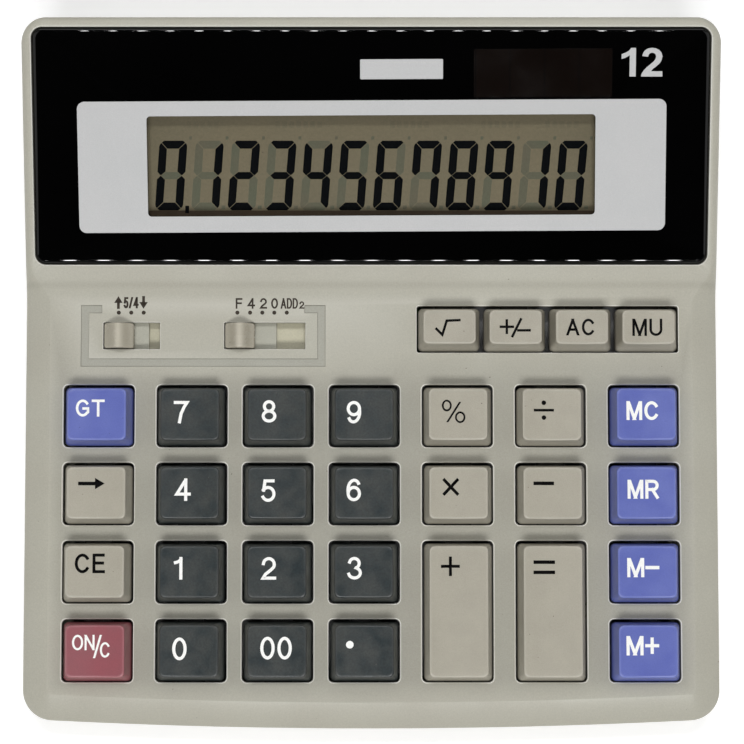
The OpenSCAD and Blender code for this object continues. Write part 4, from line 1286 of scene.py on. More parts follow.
@dataclass(frozen=True)
class KeyShape:
    """Sizes of a key cap, in millimetres: base at the panel, lean of its sides and rows that it spans."""

    width: float = 14.6
    depth: float = 12.7
    lean_w: float = 1.0
    lean_d: float = 0.8
    span: float = 0.0
    height: float = 5.0
    dish: float = 0.45
    soft: float = 0.42
    top_corner: float = 1.1
    foot_corner: float = 1.0
    inner_corner: float = 0.3
    taper: float = -0.35
    rear_gap: float = 0.24
    reach: float = 0.1
    lead: float = 0.12
    skirt: float = -3.2
    skirt_bevel: float = 0.1
    wall: float = 0.9
    roof: float = 1.35
    plunger_r: float = 2.2
    plunger_end: float = -4.0
    plunger_bevel: float = 0.2
    tab_half: Pair = (3.0, 1.075)
    tab_out: float = 0.175
    tab_top: float = -2.3

    @property
    def top_half(self) -> Pair:
        """Half width and half depth of the top face."""
        return self.width / 2 - self.lean_w, (self.depth + self.span) / 2 - self.lean_d

    @property
    def ceiling(self) -> float:
        """Height of the inside's ceiling."""
        return self.height - self.dish - self.roof

    def crown(self, u: Array, v: Array) -> Array:
        """Height of the hollow top face: a shallow trough along v, deepest in the middle of u."""
        return self.height - self.dish * (1 - np.clip(u / self.top_half[0], -1, 1) ** 2)

    def cap(self, skin: Skin, slope: Slope, u: float, v: float) -> None:
        """Adds the cap as one loft: top rings, rounded edge, flared side, skirt and the inside.

        Args:
            skin: Skin to add to.
            slope: Plane of the key panel.
            u: Place of the key.
            v: Place of the key.
        """
        half_w, half_d = self.top_half
        shares = np.array([1, 0.75, 0.5, 0.25, 0.12])
        turn = np.radians(np.linspace(90, 0, 6))
        inset = chain(half_d * shares, self.soft * (1 - np.cos(turn)))
        drop = chain(0 * shares, self.soft * (1 - np.sin(turn)))
        loops = KEY_LOOP.loops(
            np.maximum(half_w - inset * np.where(np.arange(len(inset)) < len(shares), half_w / half_d, 1), 0),
            np.maximum(half_d - inset, 0),
            self.top_corner * np.clip((half_d - inset) / half_d, 0, 1),
        )
        crown = self.crown(loops[..., 0], loops[..., 1])
        loops[..., 1] *= 1 + (self.height - crown) * self.lean_d / (self.height * half_d)
        loops[..., 1] += self.lead
        top = crown - drop[:, None]
        t = np.linspace(0, 1, 8)[1:]
        flare = 0.6 * t + 0.4 * t * t
        back, fore = self.rear_gap / 2, self.reach / 2
        sides = KEY_LOOP.loops(
            half_w + self.lean_w * flare,
            half_d + (self.lean_d + fore - back) * flare,
            self.top_corner + (self.foot_corner - self.top_corner) * t,
        )
        sides[..., 1] += self.lead - (self.lead + back + fore) * flare[:, None]
        low = top[-1] * (1 - t[:, None]) + self.taper * t[:, None]
        rim_w, rim_d = self.width / 2, (self.depth + self.span) / 2 + fore - back
        in_w, in_d, bevel = half_w - self.wall, half_d - self.wall, self.skirt_bevel
        rest = KEY_LOOP.loops(
            [rim_w, rim_w - bevel, in_w, in_w, 0],
            [rim_d, rim_d - bevel, in_d, in_d, 0],
            [self.foot_corner, self.foot_corner - bevel, self.inner_corner, self.inner_corner, 0],
        )
        rest[:2, :, 1] -= back + fore
        deep = np.array([self.skirt + bevel, self.skirt, self.skirt, self.ceiling, self.ceiling])[:, None]
        rings = chain(loops, sides, rest)
        height = chain(top, low, np.broadcast_to(deep, rest.shape[:2]))
        points = slope.place(u + rings[..., 0], v + rings[..., 1], height)
        # The top's rounded edge lightens as rubbing and a painted highlight; the lower sides and the inside darken as
        # painted shade
        wear_and_painted_light = [0.0] * len(shares) + [0.1, 0.6, 1.0, 0.8, 0.3, 0.0]
        painted_shade = [*(-0.25 * np.clip(4 * t - 3, 0, 1)), -0.9, -1.0, -1.0, -1.0, -1.0]
        skin.grid(points, True, wear_and_painted_light + painted_shade)

    def fittings(self, skin: Skin, slope: Slope, u: float, v: float) -> None:
        """Adds a plunger for each rubber dome and the retaining tabs at the front and rear.

        Args:
            skin: Skin to add to.
            slope: Plane of the key panel.
            u: Place of the key.
            v: Place of the key.
        """
        top, end, r, bevel = self.ceiling + self.roof / 2, self.plunger_end, self.plunger_r, self.plunger_bevel
        plunger = [(0, top), (r, top), (r, end + bevel), (r - bevel, end), (0, end)]
        for shift in self.middles():
            skin.turned(slope, u, v + shift, plunger)
        half = (self.depth + self.span) / 2
        for side in (-1, 1):
            loop = OPENING_LOOP.loop(*self.tab_half, 0.2, u, v + side * (half + self.tab_out))
            # The tabs are darkened as painted shade
            skin.plate(slope, loop, [], self.skirt, self.tab_top, edge=-1.0)

    def middles(self) -> Floats:
        """Places of the rows that the key covers, from its middle."""
        return (-self.span / 2, self.span / 2) if self.span else (0.0,)


@dataclass(frozen=True)
class Mark:
    """A printed legend: its words, cap height, stroke, place from the key's middle, spacing and narrowing."""

    words: str
    height: float
    stroke: float
    u: float = 0.0
    v: float = 0.0
    spacing: float = 0.55
    narrow: float = 1.0


@dataclass(frozen=True)
class Key:
    """One key: its name, column, row, colour, legend, the legend's further parts and the rows it covers."""

    name: str
    column: int
    row: int
    colour: KeyColour
    mark: Mark
    more: tuple[Mark, ...] = ()
    rows: int = 1

    @property
    def node(self) -> str:
        """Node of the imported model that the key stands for."""
        return self.piece("key")

    @property
    def body(self) -> str:
        """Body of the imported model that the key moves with."""
        return "body_" + self.node

    def piece(self, kind: str) -> str:
        """Name of one of the key's pieces, such as its cap or its dome."""
        return f"{kind}_{self.name}"


def digit(words: str, u: float, v: float) -> Mark:
    """Legend of a number key."""
    return Mark(words, 4.8, 0.66, u, v, 0.5)


def caps(words: str, u: float, v: float) -> Mark:
    """Legend of a memory key in white capitals."""
    return Mark(words, 4.05, 0.66, u, v, 0.42, 0.98)


def plain(words: str, height: float, u: float, v: float, stroke: float = 0.54) -> Mark:
    """Legend of a beige key in black lines."""
    return Mark(words, height, stroke, u, v)


B, L, R, D = KeyColour.BEIGE, KeyColour.BLUE, KeyColour.RED, KeyColour.DARK
KEYS: tuple[Key, ...] = (
    Key("sqrt", 0, 0, B, plain("√", 3.7, -0.35, -0.05)),
    Key("sign", 1, 0, B, plain("±", 4.0, -0.1, -0.05)),
    Key("ac", 2, 0, B, plain("AC", 3.6, -0.3, 0.1)),
    Key("mu", 3, 0, B, plain("MU", 3.7, -0.25, 0.05)),
    Key("gt", 0, 1, L, Mark("GT", 3.65, 0.54, -1.4, 1.45, 0.45)),
    Key("7", 1, 1, D, digit("7", -1.9, 0.6)),
    Key("8", 2, 1, D, digit("8", -1.7, 0.8)),
    Key("9", 3, 1, D, digit("9", -2.2, 0.6)),
    Key("percent", 4, 1, B, plain("%", 4.95, -1.0, 0.75, 0.4)),
    Key("divide", 5, 1, B, plain("÷", 4.35, -1.7, 1.05, 0.56)),
    Key("mc", 6, 1, L, caps("MC", -0.75, 0.9)),
    Key("back", 0, 2, B, Mark("→", 2.9, 0.76, -0.92, 2.1, 0.5, 0.88)),
    Key("4", 1, 2, D, digit("4", -1.45, 0.8)),
    Key("5", 2, 2, D, digit("5", -1.9, 0.6)),
    Key("6", 3, 2, D, digit("6", -2.2, 0.8)),
    Key("multiply", 4, 2, B, plain("×", 3.7, -1.65, 1.4, 0.66)),
    Key("minus", 5, 2, B, plain("−", 5.0, -1.9, 2.2, 0.76)),
    Key("mr", 6, 2, L, caps("MR", -0.65, 0.9)),
    Key("ce", 0, 3, B, plain("CE", 4.15, -1.05, 1.9, 0.64)),
    Key("1", 1, 3, D, digit("1", -2.4, 0.9)),
    Key("2", 2, 3, D, digit("2", -1.7, 0.9)),
    Key("3", 3, 3, D, digit("3", -2.0, 0.9)),
    Key("plus", 4, 3, B, plain("+", 4.15, -1.8, 9.7, 0.64), rows=2),
    Key("equals", 5, 3, B, plain("=", 4.6, -1.85, 9.5, 0.74), rows=2),
    Key("memory_minus", 6, 3, L, Mark("M", 4.1, 0.68, -2.47, 1.05, 0.0, 1.06), (
        Mark("−", 4.0, 0.72, 1.08, 1.05, 0.0, 0.8),
    )),
    Key("on", 0, 4, R, Mark("ON", 3.25, 0.44, -2.45, 2.0, 0.3, 0.85), (
        Mark("/", 4.9, 0.46, 0.55, 1.15, 0.0, 0.68), Mark("C", 3.25, 0.44, 2.15, 0.45, 0.0, 0.85),
    )),
    Key("0", 1, 4, D, digit("0", -2.0, 0.6)),
    Key("00", 2, 4, D, digit("00", -0.2, 0.8)),
    Key("point", 3, 4, D, digit(".", -3.1, 1.5)),
    Key("memory_plus", 6, 4, L, Mark("M", 4.1, 0.68, -2.83, 1.35, 0.0, 1.06), (
        Mark("+", 3.48, 0.68, 0.83, 1.35, 0.0, 0.85),
    )),
)


@dataclass
class Keyboard(Assembly):
    """All keys with their legends; each sits a little off its place by its play."""

    shape: KeyShape = KeyShape()
    small: KeyShape = KeyShape(width=13.3, depth=9.4, lean_d=1.0, dish=0.3)
    play: float = 0.09
    seed: int = 12

    def place(self, key: Key) -> tuple[float, float, KeyShape]:
        """Gives a key's middle on the panel and its shape.

        Args:
            key: The key.

        Returns:
            u, v and the shape.
        """
        f = self.field
        if key.row == 0:
            return f.small_x + (key.column - 1.5) * f.small_pitch, f.small_v, self.small
        span = (key.rows - 1) * f.row_pitch
        shape = KeyShape(span=span) if span else self.shape
        return f.columns[key.column], f.row(key.row) - span / 2, shape

    def build(self) -> None:
        """Builds and dresses every key and its legend."""
        loose = np.random.default_rng(self.seed).uniform(-self.play, self.play, (len(KEYS), 2))
        for key, shift in zip(KEYS, loose):
            u, v, shape = self.place(key)
            u, v = u + shift[0], v + shift[1] / 2
            finish, slot, ink = key.colour.value
            skin = Skin()
            shape.cap(skin, self.plan.keys, u, v)
            shape.fittings(skin, self.plan.keys, u, v)
            self.piece(skin, key.piece("cap"), slot, finish, [key.node], key.body)
            legend = Ink(Skin(), self.plan.keys, (u, v), shape.crown)
            for mark in (key.mark, *key.more):
                legend.write(mark)
            self.piece(legend.skin, key.piece("legend"), slot, ink, body=key.body)


@dataclass(frozen=True)
class Glyph:
    """A sign as centre lines in units of its cap height, with dots and solid shapes.

    Attributes:
        width: Width of the sign.
        lines: Open centre lines.
        loops: Closed centre lines.
        dots: Rows of x, y and radius.
        solids: Convex shapes that are filled.
        slants: Straight strokes from the foot up, cut level at both ends.
    """

    width: float
    lines: tuple[Array, ...] = ()
    loops: tuple[Array, ...] = ()
    dots: tuple[Point, ...] = ()
    solids: tuple[Array, ...] = ()
    slants: tuple[Array, ...] = ()


def arc(x: float, y: float, rx: float, ry: float, start: float, end: float, steps: int = 25) -> Array:
    """Points of an ellipse about (x, y) between two angles in degrees."""
    a = np.radians(np.linspace(start, end, steps))
    return np.stack([x + rx * np.cos(a), y + ry * np.sin(a)], axis=1)


def line(*points: Pair) -> Array:
    """A centre line through points."""
    return np.array(points, float)


def oval(x: float, y: float, rx: float, ry: float) -> Array:
    """A closed ellipse without its repeated last point."""
    return arc(x, y, rx, ry, 0, 360, 33)[:-1]


SIX = (
    chain(arc(0.33, 0.76, 0.23, 0.24, 20, 80, 8), arc(0.34, 0.5, 0.33, 0.5, 92, 188, 16)),
    oval(0.31, 0.315, 0.29, 0.315),
)
GLYPHS: dict[str, Glyph] = {
    "0": Glyph(0.6, loops=(oval(0.3, 0.5, 0.29, 0.5),)),
    "1": Glyph(0.42, (line((0.36, 0), (0.36, 1)), line((0.34, 0.94), (0.27, 0.86), (0.16, 0.81), (0.08, 0.79)))),
    "2": Glyph(0.62, (
        chain(arc(0.31, 0.7, 0.28, 0.3, 172, -28), line((0.42, 0.42), (0.14, 0.2), (0.02, 0), (0.61, 0))),
    )),
    "3": Glyph(0.6, (chain(arc(0.29, 0.75, 0.25, 0.25, 165, -80), arc(0.3, 0.26, 0.3, 0.26, 80, -165)),)),
    "4": Glyph(0.66, (line((0.48, 0), (0.48, 1)), line((0.46, 0.98), (0.02, 0.27), (0.66, 0.27)))),
    "5": Glyph(0.6, (line((0.54, 1), (0.13, 1), (0.06, 0.52)), arc(0.29, 0.33, 0.3, 0.33, 142, -150))),
    "6": Glyph(0.62, SIX[:1], SIX[1:]),
    "7": Glyph(0.6, (line((0.0, 1), (0.6, 1), (0.44, 0.74), (0.3, 0.42), (0.22, 0)),)),
    "8": Glyph(0.6, loops=(oval(0.3, 0.755, 0.24, 0.245), oval(0.3, 0.255, 0.3, 0.255))),
    "9": Glyph(0.62, (np.array([0.62, 1]) - SIX[0],), (np.array([0.62, 1]) - SIX[1],)),
    ".": Glyph(0.2, dots=((0.1, 0.5, 0.195),)),
    "A": Glyph(0.72, (line((0.16, 0.32), (0.56, 0.32)),), slants=(line((0, 0), (0.36, 1)), line((0.72, 0), (0.36, 1)))),
    "C": Glyph(0.74, (arc(0.38, 0.5, 0.37, 0.5, 38, 322, 33),)),
    "D": Glyph(0.68, loops=(
        chain(line((0, 0), (0.3, 0)), arc(0.3, 0.5, 0.38, 0.5, -80, 80, 21), line((0.3, 1), (0, 1))),
    )),
    "E": Glyph(0.58, (line((0.58, 0), (0, 0), (0, 1), (0.56, 1)), line((0, 0.52), (0.52, 0.52)))),
    "F": Glyph(0.56, (line((0, 0), (0, 1), (0.56, 1)), line((0, 0.52), (0.5, 0.52)))),
    "G": Glyph(0.76, (chain(arc(0.38, 0.5, 0.38, 0.5, 40, 318, 33), line((0.74, 0.22), (0.74, 0.47), (0.44, 0.47))),)),
    "M": Glyph(0.82, (line((0, 0), (0, 1)), line((0.82, 1), (0.82, 0))), slants=(
        line((0.41, 0), (0.05, 1)), line((0.41, 0), (0.77, 1)),
    )),
    "N": Glyph(0.7, (line((0, 0), (0, 1)), line((0.7, 0), (0.7, 1))), slants=(line((0.68, 0), (0.02, 1)),)),
    "O": Glyph(0.8, loops=(oval(0.4, 0.5, 0.4, 0.5),)),
    "R": Glyph(0.68, (
        chain(line((0, 0), (0, 1), (0.4, 1)), arc(0.4, 0.74, 0.26, 0.26, 80, -80, 15), line((0.4, 0.48), (0, 0.48))),
        line((0.36, 0.48), (0.66, 0)),
    )),
    "T": Glyph(0.72, (line((0, 1), (0.72, 1)), line((0.36, 1), (0.36, 0)))),
    "U": Glyph(0.7, (
        chain(line((0, 1), (0, 0.36)), arc(0.35, 0.35, 0.35, 0.35, 182, 358, 21), line((0.7, 0.36), (0.7, 1))),
    )),
    "/": Glyph(0.42, slants=(line((0, 0), (0.42, 1)),)),
    "√": Glyph(1.56, (line((0, 0.4), (0.4, 0), (0.7, 0.96), (1.56, 1)),)),
    "±": Glyph(1.78, (
        line((0, 0.56), (0.74, 0.56)), line((0.37, 0.19), (0.37, 0.95)), line((0.72, -0.02), (1.24, 1.02)),
        line((1.08, 0.34), (1.78, 0.34)),
    )),
    "%": Glyph(1.02, loops=(oval(0.2, 0.77, 0.19, 0.23), oval(0.83, 0.22, 0.2, 0.23)), slants=(
        line((0.25, 0.03), (0.8, 0.9)),
    )),
    "÷": Glyph(1.0, (line((0, 0.5), (1, 0.5)),), dots=((0.5, 0.92, 0.13), (0.5, 0.08, 0.13))),
    "×": Glyph(0.94, (line((0.02, 0.02), (0.92, 0.98)), line((0.02, 0.98), (0.92, 0.02)))),
    "−": Glyph(0.86, (line((0, 0.5), (0.86, 0.5)),)),
    "+": Glyph(0.96, (line((0, 0.5), (0.96, 0.5)), line((0.48, 0), (0.48, 1)))),
    "=": Glyph(1.0, (line((0, 0.78), (1, 0.78)), line((0, 0.22), (1, 0.22)))),
    "→": Glyph(2.7, (line((0, 0.5), (1.9, 0.5)),), solids=(line((1.7, 1.06), (1.7, -0.06), (2.8, 0.5)),)),
    "↑": Glyph(0.6, (line((0.3, 0), (0.3, 0.62)),), solids=(line((-0.12, 0.46), (0.72, 0.46), (0.3, 1.12)),)),
    "↓": Glyph(0.6, (line((0.3, 1), (0.3, 0.38)),), solids=(line((0.72, 0.54), (-0.12, 0.54), (0.3, -0.12)),)),
}


def level_height(level: float = 0.0) -> Height:
    """Gives the height of a flat surface: the same level everywhere."""
    return lambda u, v: np.full(np.broadcast(u, v).shape, level)


@dataclass
class Ink:
    """Thin raised ink that follows the surface below it.

    Attributes:
        skin: Skin that the ink goes into.
        slope: Plane that the surface follows.
        middle: Middle of the surface on the plane.
        height: Height of the surface over the plane, from its middle.
    """

    LIFT = 0.02
    SINK = 0.05
    STEP = 0.45
    MITRE = 0.3

    skin: Skin
    slope: Slope
    middle: Pair = (0.0, 0.0)
    height: Height = level_height()

    def write(self, mark: Mark) -> None:
        """Lays out a legend about its middle and adds its ink.

        Args:
            mark: Legend.
        """
        half, scale = mark.stroke / 2, mark.height - mark.stroke
        wide = scale * mark.narrow
        signs = [GLYPHS[c] for c in mark.words]
        advance = np.array([g.width * wide + mark.stroke + mark.spacing for g in signs])
        left = chain([0], np.cumsum(advance)[:-1]) - (advance.sum() - mark.spacing) / 2
        stretch = np.array([wide, scale])
        for sign, start in zip(signs, left):
            corner = np.array([start + half + mark.u, mark.v - scale / 2])
            for path in sign.lines:
                self.ribbon(path * stretch + corner, half, False)
            for foot, head in sign.slants:
                rise = (head - foot) * stretch
                over = rise * half / rise[1]
                side = np.array([half * math.hypot(*rise) / rise[1], 0])
                foot, head = foot * stretch + corner - over, head * stretch + corner + over
                self.blot(np.stack([foot - side, foot + side, head + side, head - side]))
            for path in sign.loops:
                self.ribbon(path * stretch + corner, half, True)
            for x, y, r in sign.dots:
                self.blot(oval(x * wide + corner[0], y * scale + corner[1], r * scale, r * scale))
            for shape in sign.solids:
                self.blot(shape * stretch + corner)

    def lay(self, flat: Array, level: Array) -> Array:
        """Lifts points of the plane to a level over the surface and carries them into the case."""
        rise = self.height(flat[..., 0], flat[..., 1]) + level
        return self.slope.place(flat[..., 0] + self.middle[0], flat[..., 1] + self.middle[1], rise)

    def ribbon(self, path: Array, half: float, closed: bool) -> None:
        """Carries a flat bar along a centre line, mitred at its corners: offset = (n1 + n2) / (1 + n1.n2).

        Open ends reach half a stroke beyond the line.

        Args:
            path: Centre line.
            half: Half the stroke.
            closed: Whether the end joins the start.
        """
        if closed:
            path = chain(path, path[:1])
        else:
            ends = np.stack([path[0] - path[1], path[-1] - path[-2]])
            ends = path[[0, -1]] + half * ends / np.linalg.norm(ends, axis=1, keepdims=True)
            path = chain(ends[:1], path[1:-1], ends[1:])
        length = chain([0], np.cumsum(np.linalg.norm(np.diff(path, axis=0), axis=1)))
        fine = np.unique(np.round(chain(length, np.arange(0, length[-1], self.STEP)), 4))
        path = np.stack([np.interp(fine, length, path[:, k]) for k in (0, 1)], axis=1)
        way = np.diff(path, axis=0)
        way = way / np.maximum(np.linalg.norm(way, axis=1, keepdims=True), TINY)
        side = np.stack([-way[:, 1], way[:, 0]], axis=1)
        before = chain(side[-1:] if closed else side[:1], side)
        after = chain(side, side[:1] if closed else side[-1:])
        mitre = (before + after) / np.maximum(1 + np.sum(before * after, axis=1, keepdims=True), self.MITRE)
        left, right = path + half * mitre, path - half * mitre
        across = np.stack([left, left, right, right], axis=1)
        level = np.array([-self.SINK, self.LIFT, self.LIFT, -self.SINK])
        if closed:
            points = self.lay(across[:-1], level)
            self.skin.grid(chain(points, points[:1]))
            return
        points = self.lay(across, level)
        self.skin.grid(points)
        self.skin.patch(points[[0, -1]], [[0, 1, 2, 3], [7, 6, 5, 4]])

    def blot(self, loop: Array) -> None:
        """Adds a filled convex shape: its loop on two levels, each closed towards the middle.

        Args:
            loop: Outline.
        """
        centre = loop * 0 + loop.mean(axis=0)
        level = np.array([self.LIFT, self.LIFT, -self.SINK, -self.SINK])[:, None]
        self.skin.grid(self.lay(np.stack([centre, loop, loop, centre]), level))


class Segment(Enum):
    """The seven bars of a display digit."""

    TOP = "a"
    UPPER_RIGHT = "b"
    LOWER_RIGHT = "c"
    BOTTOM = "d"
    LOWER_LEFT = "e"
    UPPER_LEFT = "f"
    MIDDLE = "g"


LIT = {
    "0": "abcdef", "1": "bc", "2": "abged", "3": "abgcd", "4": "fgbc", "5": "afgcd", "6": "afgcde", "7": "abcf",
    "8": "abcdefg", "9": "abcdfg",
}
BOLD_ONE = line(
    (-1.22, 3.23), (-2.33, 3.23), (-2.55, 2.85), (-2.95, 2.5), (-3.7, 2.1), (-4.43, 1.82), (-4.43, 0.72), (-3.6, 0.98),
    (-2.62, 1.58), (-2.62, -3.23), (-1.22, -3.23),
)
BOLD_TWO = line(
    (4.75, -3.23), (4.75, -2.04), (2.2, -2.04), (2.65, -1.45), (3.4, -0.9), (4.15, -0.2), (4.55, 0.5), (4.72, 1.3),
    (4.5, 2.15), (3.95, 2.78), (3.2, 3.15), (2.35, 3.25), (1.45, 3.1), (0.75, 2.65), (0.35, 2.05), (0.2, 1.4),
    (1.5, 1.22), (1.62, 1.68), (1.9, 2.02), (2.35, 2.15), (2.85, 2.05), (3.18, 1.75), (3.3, 1.3), (3.2, 0.8),
    (2.85, 0.25), (2.05, -0.45), (1.2, -1.15), (0.55, -1.85), (0.12, -2.55), (-0.05, -3.23),
)


@dataclass
class Display(Assembly):
    """The glossy panel over the display with its prints, and the liquid crystal below its window.

    A box is a middle and half sizes, and a hint is the middle and width of a row of faint blocks.
    """

    panel: Box = (0.0, 29.85, 72.65, 25.35)
    panel_corner: float = 2.2
    low: float = -2.0
    high: float = 0.1
    edge: float = 0.95
    window: Box = (0.0, 25.8, 48.2, 10.75)
    window_corner: float = 0.8
    window_edge: float = 0.1
    frame: Box = (0.15, 25.66, 63.26, 14.1)
    plate: Box = (6.5, 46.38, 8.87, 2.12)
    solar: Box = (36.8, 45.6, 14.8, 5.1)
    count_place: Pair = (57.8, 47.85)
    count_scale: Pair = (0.955, 0.94)
    print_lift: float = 0.015
    print_sink: float = 0.05
    print_edge: float = 0.008
    skew: float = 0.29
    glass: Box = (0.0, 25.9, 52.0, 13.0)
    glass_top: float = -4.05
    glass_t: float = 1.1
    seal_and_shadow_half: Pair = (51.6, 1.1)
    shown: str = "012345678910"
    digit_w: float = 6.08
    digit_h: float = 15.1
    digit_pitch: float = 7.893
    first_digit: float = -43.45
    digit_s: float = 23.42
    slant: float = 4.6
    bar: float = 1.75
    bar_cut: float = 0.95
    bar_gap: float = 0.06
    lit_lift: float = 0.012
    faint_lift: float = 0.006
    hint_s: float = 34.45
    hint_pitch: float = 1.45
    hint_half: Pair = (0.5, 0.72)
    hints: tuple[Pair, ...] = ((-36.5, 7.4), (-15.7, 10.6), (8.3, 8.9), (28.0, 8.9), (41.3, 7.8))

    @staticmethod
    def outline(box: Box, corner: float) -> Array:
        """Rounded outline of a box."""
        u, s, half_w, half_d = box
        return PANEL_LOOP.loop(half_w, half_d, corner, u, s)

    def build(self) -> None:
        """Builds and dresses the panel, its prints and the liquid crystal."""
        slope = self.plan.display
        window = self.askew(self.outline(self.window, self.window_corner))
        outer = self.outline(self.panel, self.panel_corner)
        panel, pane = Skin(), Skin()
        panel.plate(slope, outer, [window], self.low, self.high, self.edge, self.window_edge)
        self.piece(panel, "lens_panel", "lens", Palette.LENS, ["display_lens"])
        pane.plate(slope, offset_loop(window, -0.03), [], self.low + 0.05, self.high - 0.06)
        self.piece(pane, "lens_pane", "lens", Palette.PANE)
        self.prints(window)
        self.crystal()

    def askew(self, loop: Array) -> Array:
        """Turns an outline a little about its own middle, as the prints sit on the panel."""
        a, middle = math.radians(self.skew), (loop.min(axis=0) + loop.max(axis=0)) / 2
        return (loop - middle) @ np.array([[math.cos(a), math.sin(a)], [-math.sin(a), math.cos(a)]]) + middle

    def prints(self, window: Array) -> None:
        """Adds the silver frame, the bare plate, the number of digits and the solar window.

        Args:
            window: Outline of the window.
        """
        slope, low, top = self.plan.display, self.high - self.print_sink, self.high + self.print_lift
        sheets = (
            ("frame_print", self.frame, 1.6, [offset_loop(window, 0.02)], Palette.SILVER),
            ("plate_print", self.plate, 0.25, [], Palette.SILVER),
            ("solar_window", self.solar, 0.3, [], Palette.SOLAR),
        )
        for name, box, corner, holes, finish in sheets:
            skin = Skin()
            skin.plate(slope, self.askew(self.outline(box, corner)), holes, low, top, self.print_edge)
            self.piece(skin, name, "lens", finish)
        count = Skin()
        for bold in (BOLD_ONE, BOLD_TWO):
            count.plate(slope, bold * np.array(self.count_scale) + np.array(self.count_place), [], low, top)
        self.piece(count, "count_print", "lens", Palette.SILVER)

    def bars(self) -> dict[Segment, Array]:
        """Outlines of the seven bars: mitred where they meet, cut at the digit's outer corners.

        Returns:
            Convex outlines about the digit's middle, before the slant.
        """
        w, h, t, cut = self.digit_w / 2, self.digit_h / 2, self.bar, self.bar_cut
        g = self.bar_gap / math.sqrt(2)
        over = np.array([
            [-w + cut / 2 + g, h - cut / 2 + g], [-w + t + g, h - t + g], [w - t - g, h - t + g],
            [w - cut / 2 - g, h - cut / 2 + g], [w - cut, h], [-w + cut, h],
        ])
        left = np.array([
            [-w + cut / 2 - g, h - cut / 2 - g], [-w + 0.14, h - 0.78], [-w, h - 1.25], [-w, 0.82], [-w + 0.7, 0.09],
            [-w + 0.84, 0.09], [-w + t, t / 2 + 0.03], [-w + t - g, h - t - g],
        ])
        mid = np.array([
            [-w + 0.86, 0], [-w + t - 0.02, -t / 2 + 0.1], [w - t + 0.02, -t / 2 + 0.1], [w - 0.86, 0],
            [w - t + 0.02, t / 2 - 0.1], [-w + t - 0.02, t / 2 - 0.1],
        ])
        flip_x, flip_y = np.array([-1, 1]), np.array([1, -1])
        return {
            Segment.TOP: over, Segment.BOTTOM: (over * flip_y)[::-1], Segment.UPPER_LEFT: left,
            Segment.LOWER_LEFT: (left * flip_y)[::-1], Segment.UPPER_RIGHT: (left * flip_x)[::-1],
            Segment.LOWER_RIGHT: (left * flip_x * flip_y), Segment.MIDDLE: mid,
        }

    def crystal(self) -> None:
        """Adds the glass, a dark strip along its lower edge that stands for both the crystal's edge sealing and painted
        shadow of the window's front wall, the lit bars and the faint unlit ones.
        """
        slope, top = self.plan.display, self.glass_top
        glass, seal_and_shadow, hints, lit, faint = (Skin() for _ in range(5))
        glass.plate(slope, self.outline(self.glass, 0.15), [], top - self.glass_t, top, 0.08)
        # The dark strip of edge sealing and painted shadow lies just below the digits
        below = self.digit_s - self.digit_h / 2 - 1.14
        seal_and_shadow.plate(slope, self.outline((0.0, below, *self.seal_and_shadow_half), 0.05), [], top - 0.05, top + 0.004)
        self.digits(lit, faint)
        for u, wide in self.hints:
            count = int(wide / self.hint_pitch)
            for k in range(count):
                across, along = (k + 0.5) * wide / count - wide / 2, self.hint_s - self.digit_s
                self.stamp(hints, HINT_LOOP.loop(*self.hint_half, 0.2, across, along), u, self.faint_lift)
        self.piece(glass, "lcd_face", "lcd_glass", Palette.LCD, ["lcd_front_glass"])
        self.piece(seal_and_shadow, "lcd_seal", "lcd_glass", Palette.SEAL_AND_SHADOW)
        self.piece(hints, "lcd_hints", "lcd_glass", Palette.HINT)
        self.piece(lit, "lcd_digits", "lcd_glass", Palette.SEGMENT)
        self.piece(faint, "lcd_ghosts", "lcd_glass", Palette.GHOST)

    def digits(self, lit: Skin, faint: Skin) -> None:
        """Adds every digit's bars, leaned by x + y tan(slant), its point and its comma.

        Args:
            lit: Skin of what is shown.
            faint: Skin of what is off.
        """
        lean, bars = math.tan(math.radians(self.slant)), self.bars()
        side, half = self.digit_w / 2, self.digit_h / 2
        comma = line((-0.3, -0.35), (0.3, -0.35), (0.35, 0.35), (-0.25, 0.35)) + [side + 1.25, half + 0.6]
        for k, sign in enumerate(self.shown):
            u = self.first_digit + k * self.digit_pitch
            for segment, shape in bars.items():
                leaned = shape + np.stack([shape[:, 1] * lean, 0 * shape[:, 1]], axis=1)
                on = segment.value in LIT[sign]
                self.stamp(lit if on else faint, leaned, u, self.lit_lift if on else self.faint_lift)
            tall, low = (0.8, 0.2) if k == 0 else (0.4, 0.65)
            point = line((-0.44, -tall), (0.4, -tall), (0.44, tall), (-0.4, tall)) + [side + 0.35, low - half]
            self.stamp(lit if k == 0 else faint, point, u, self.lit_lift if k == 0 else self.faint_lift)
            self.stamp(faint, comma, u, self.faint_lift)

    def stamp(self, skin: Skin, shape: Array, u: float, lift: float) -> None:
        """Adds one bar as a thin closed plate on the glass."""
        level = self.glass_top + lift - Ink.LIFT
        Ink(skin, self.plan.display, (u, self.digit_s), level_height(level)).blot(shape)


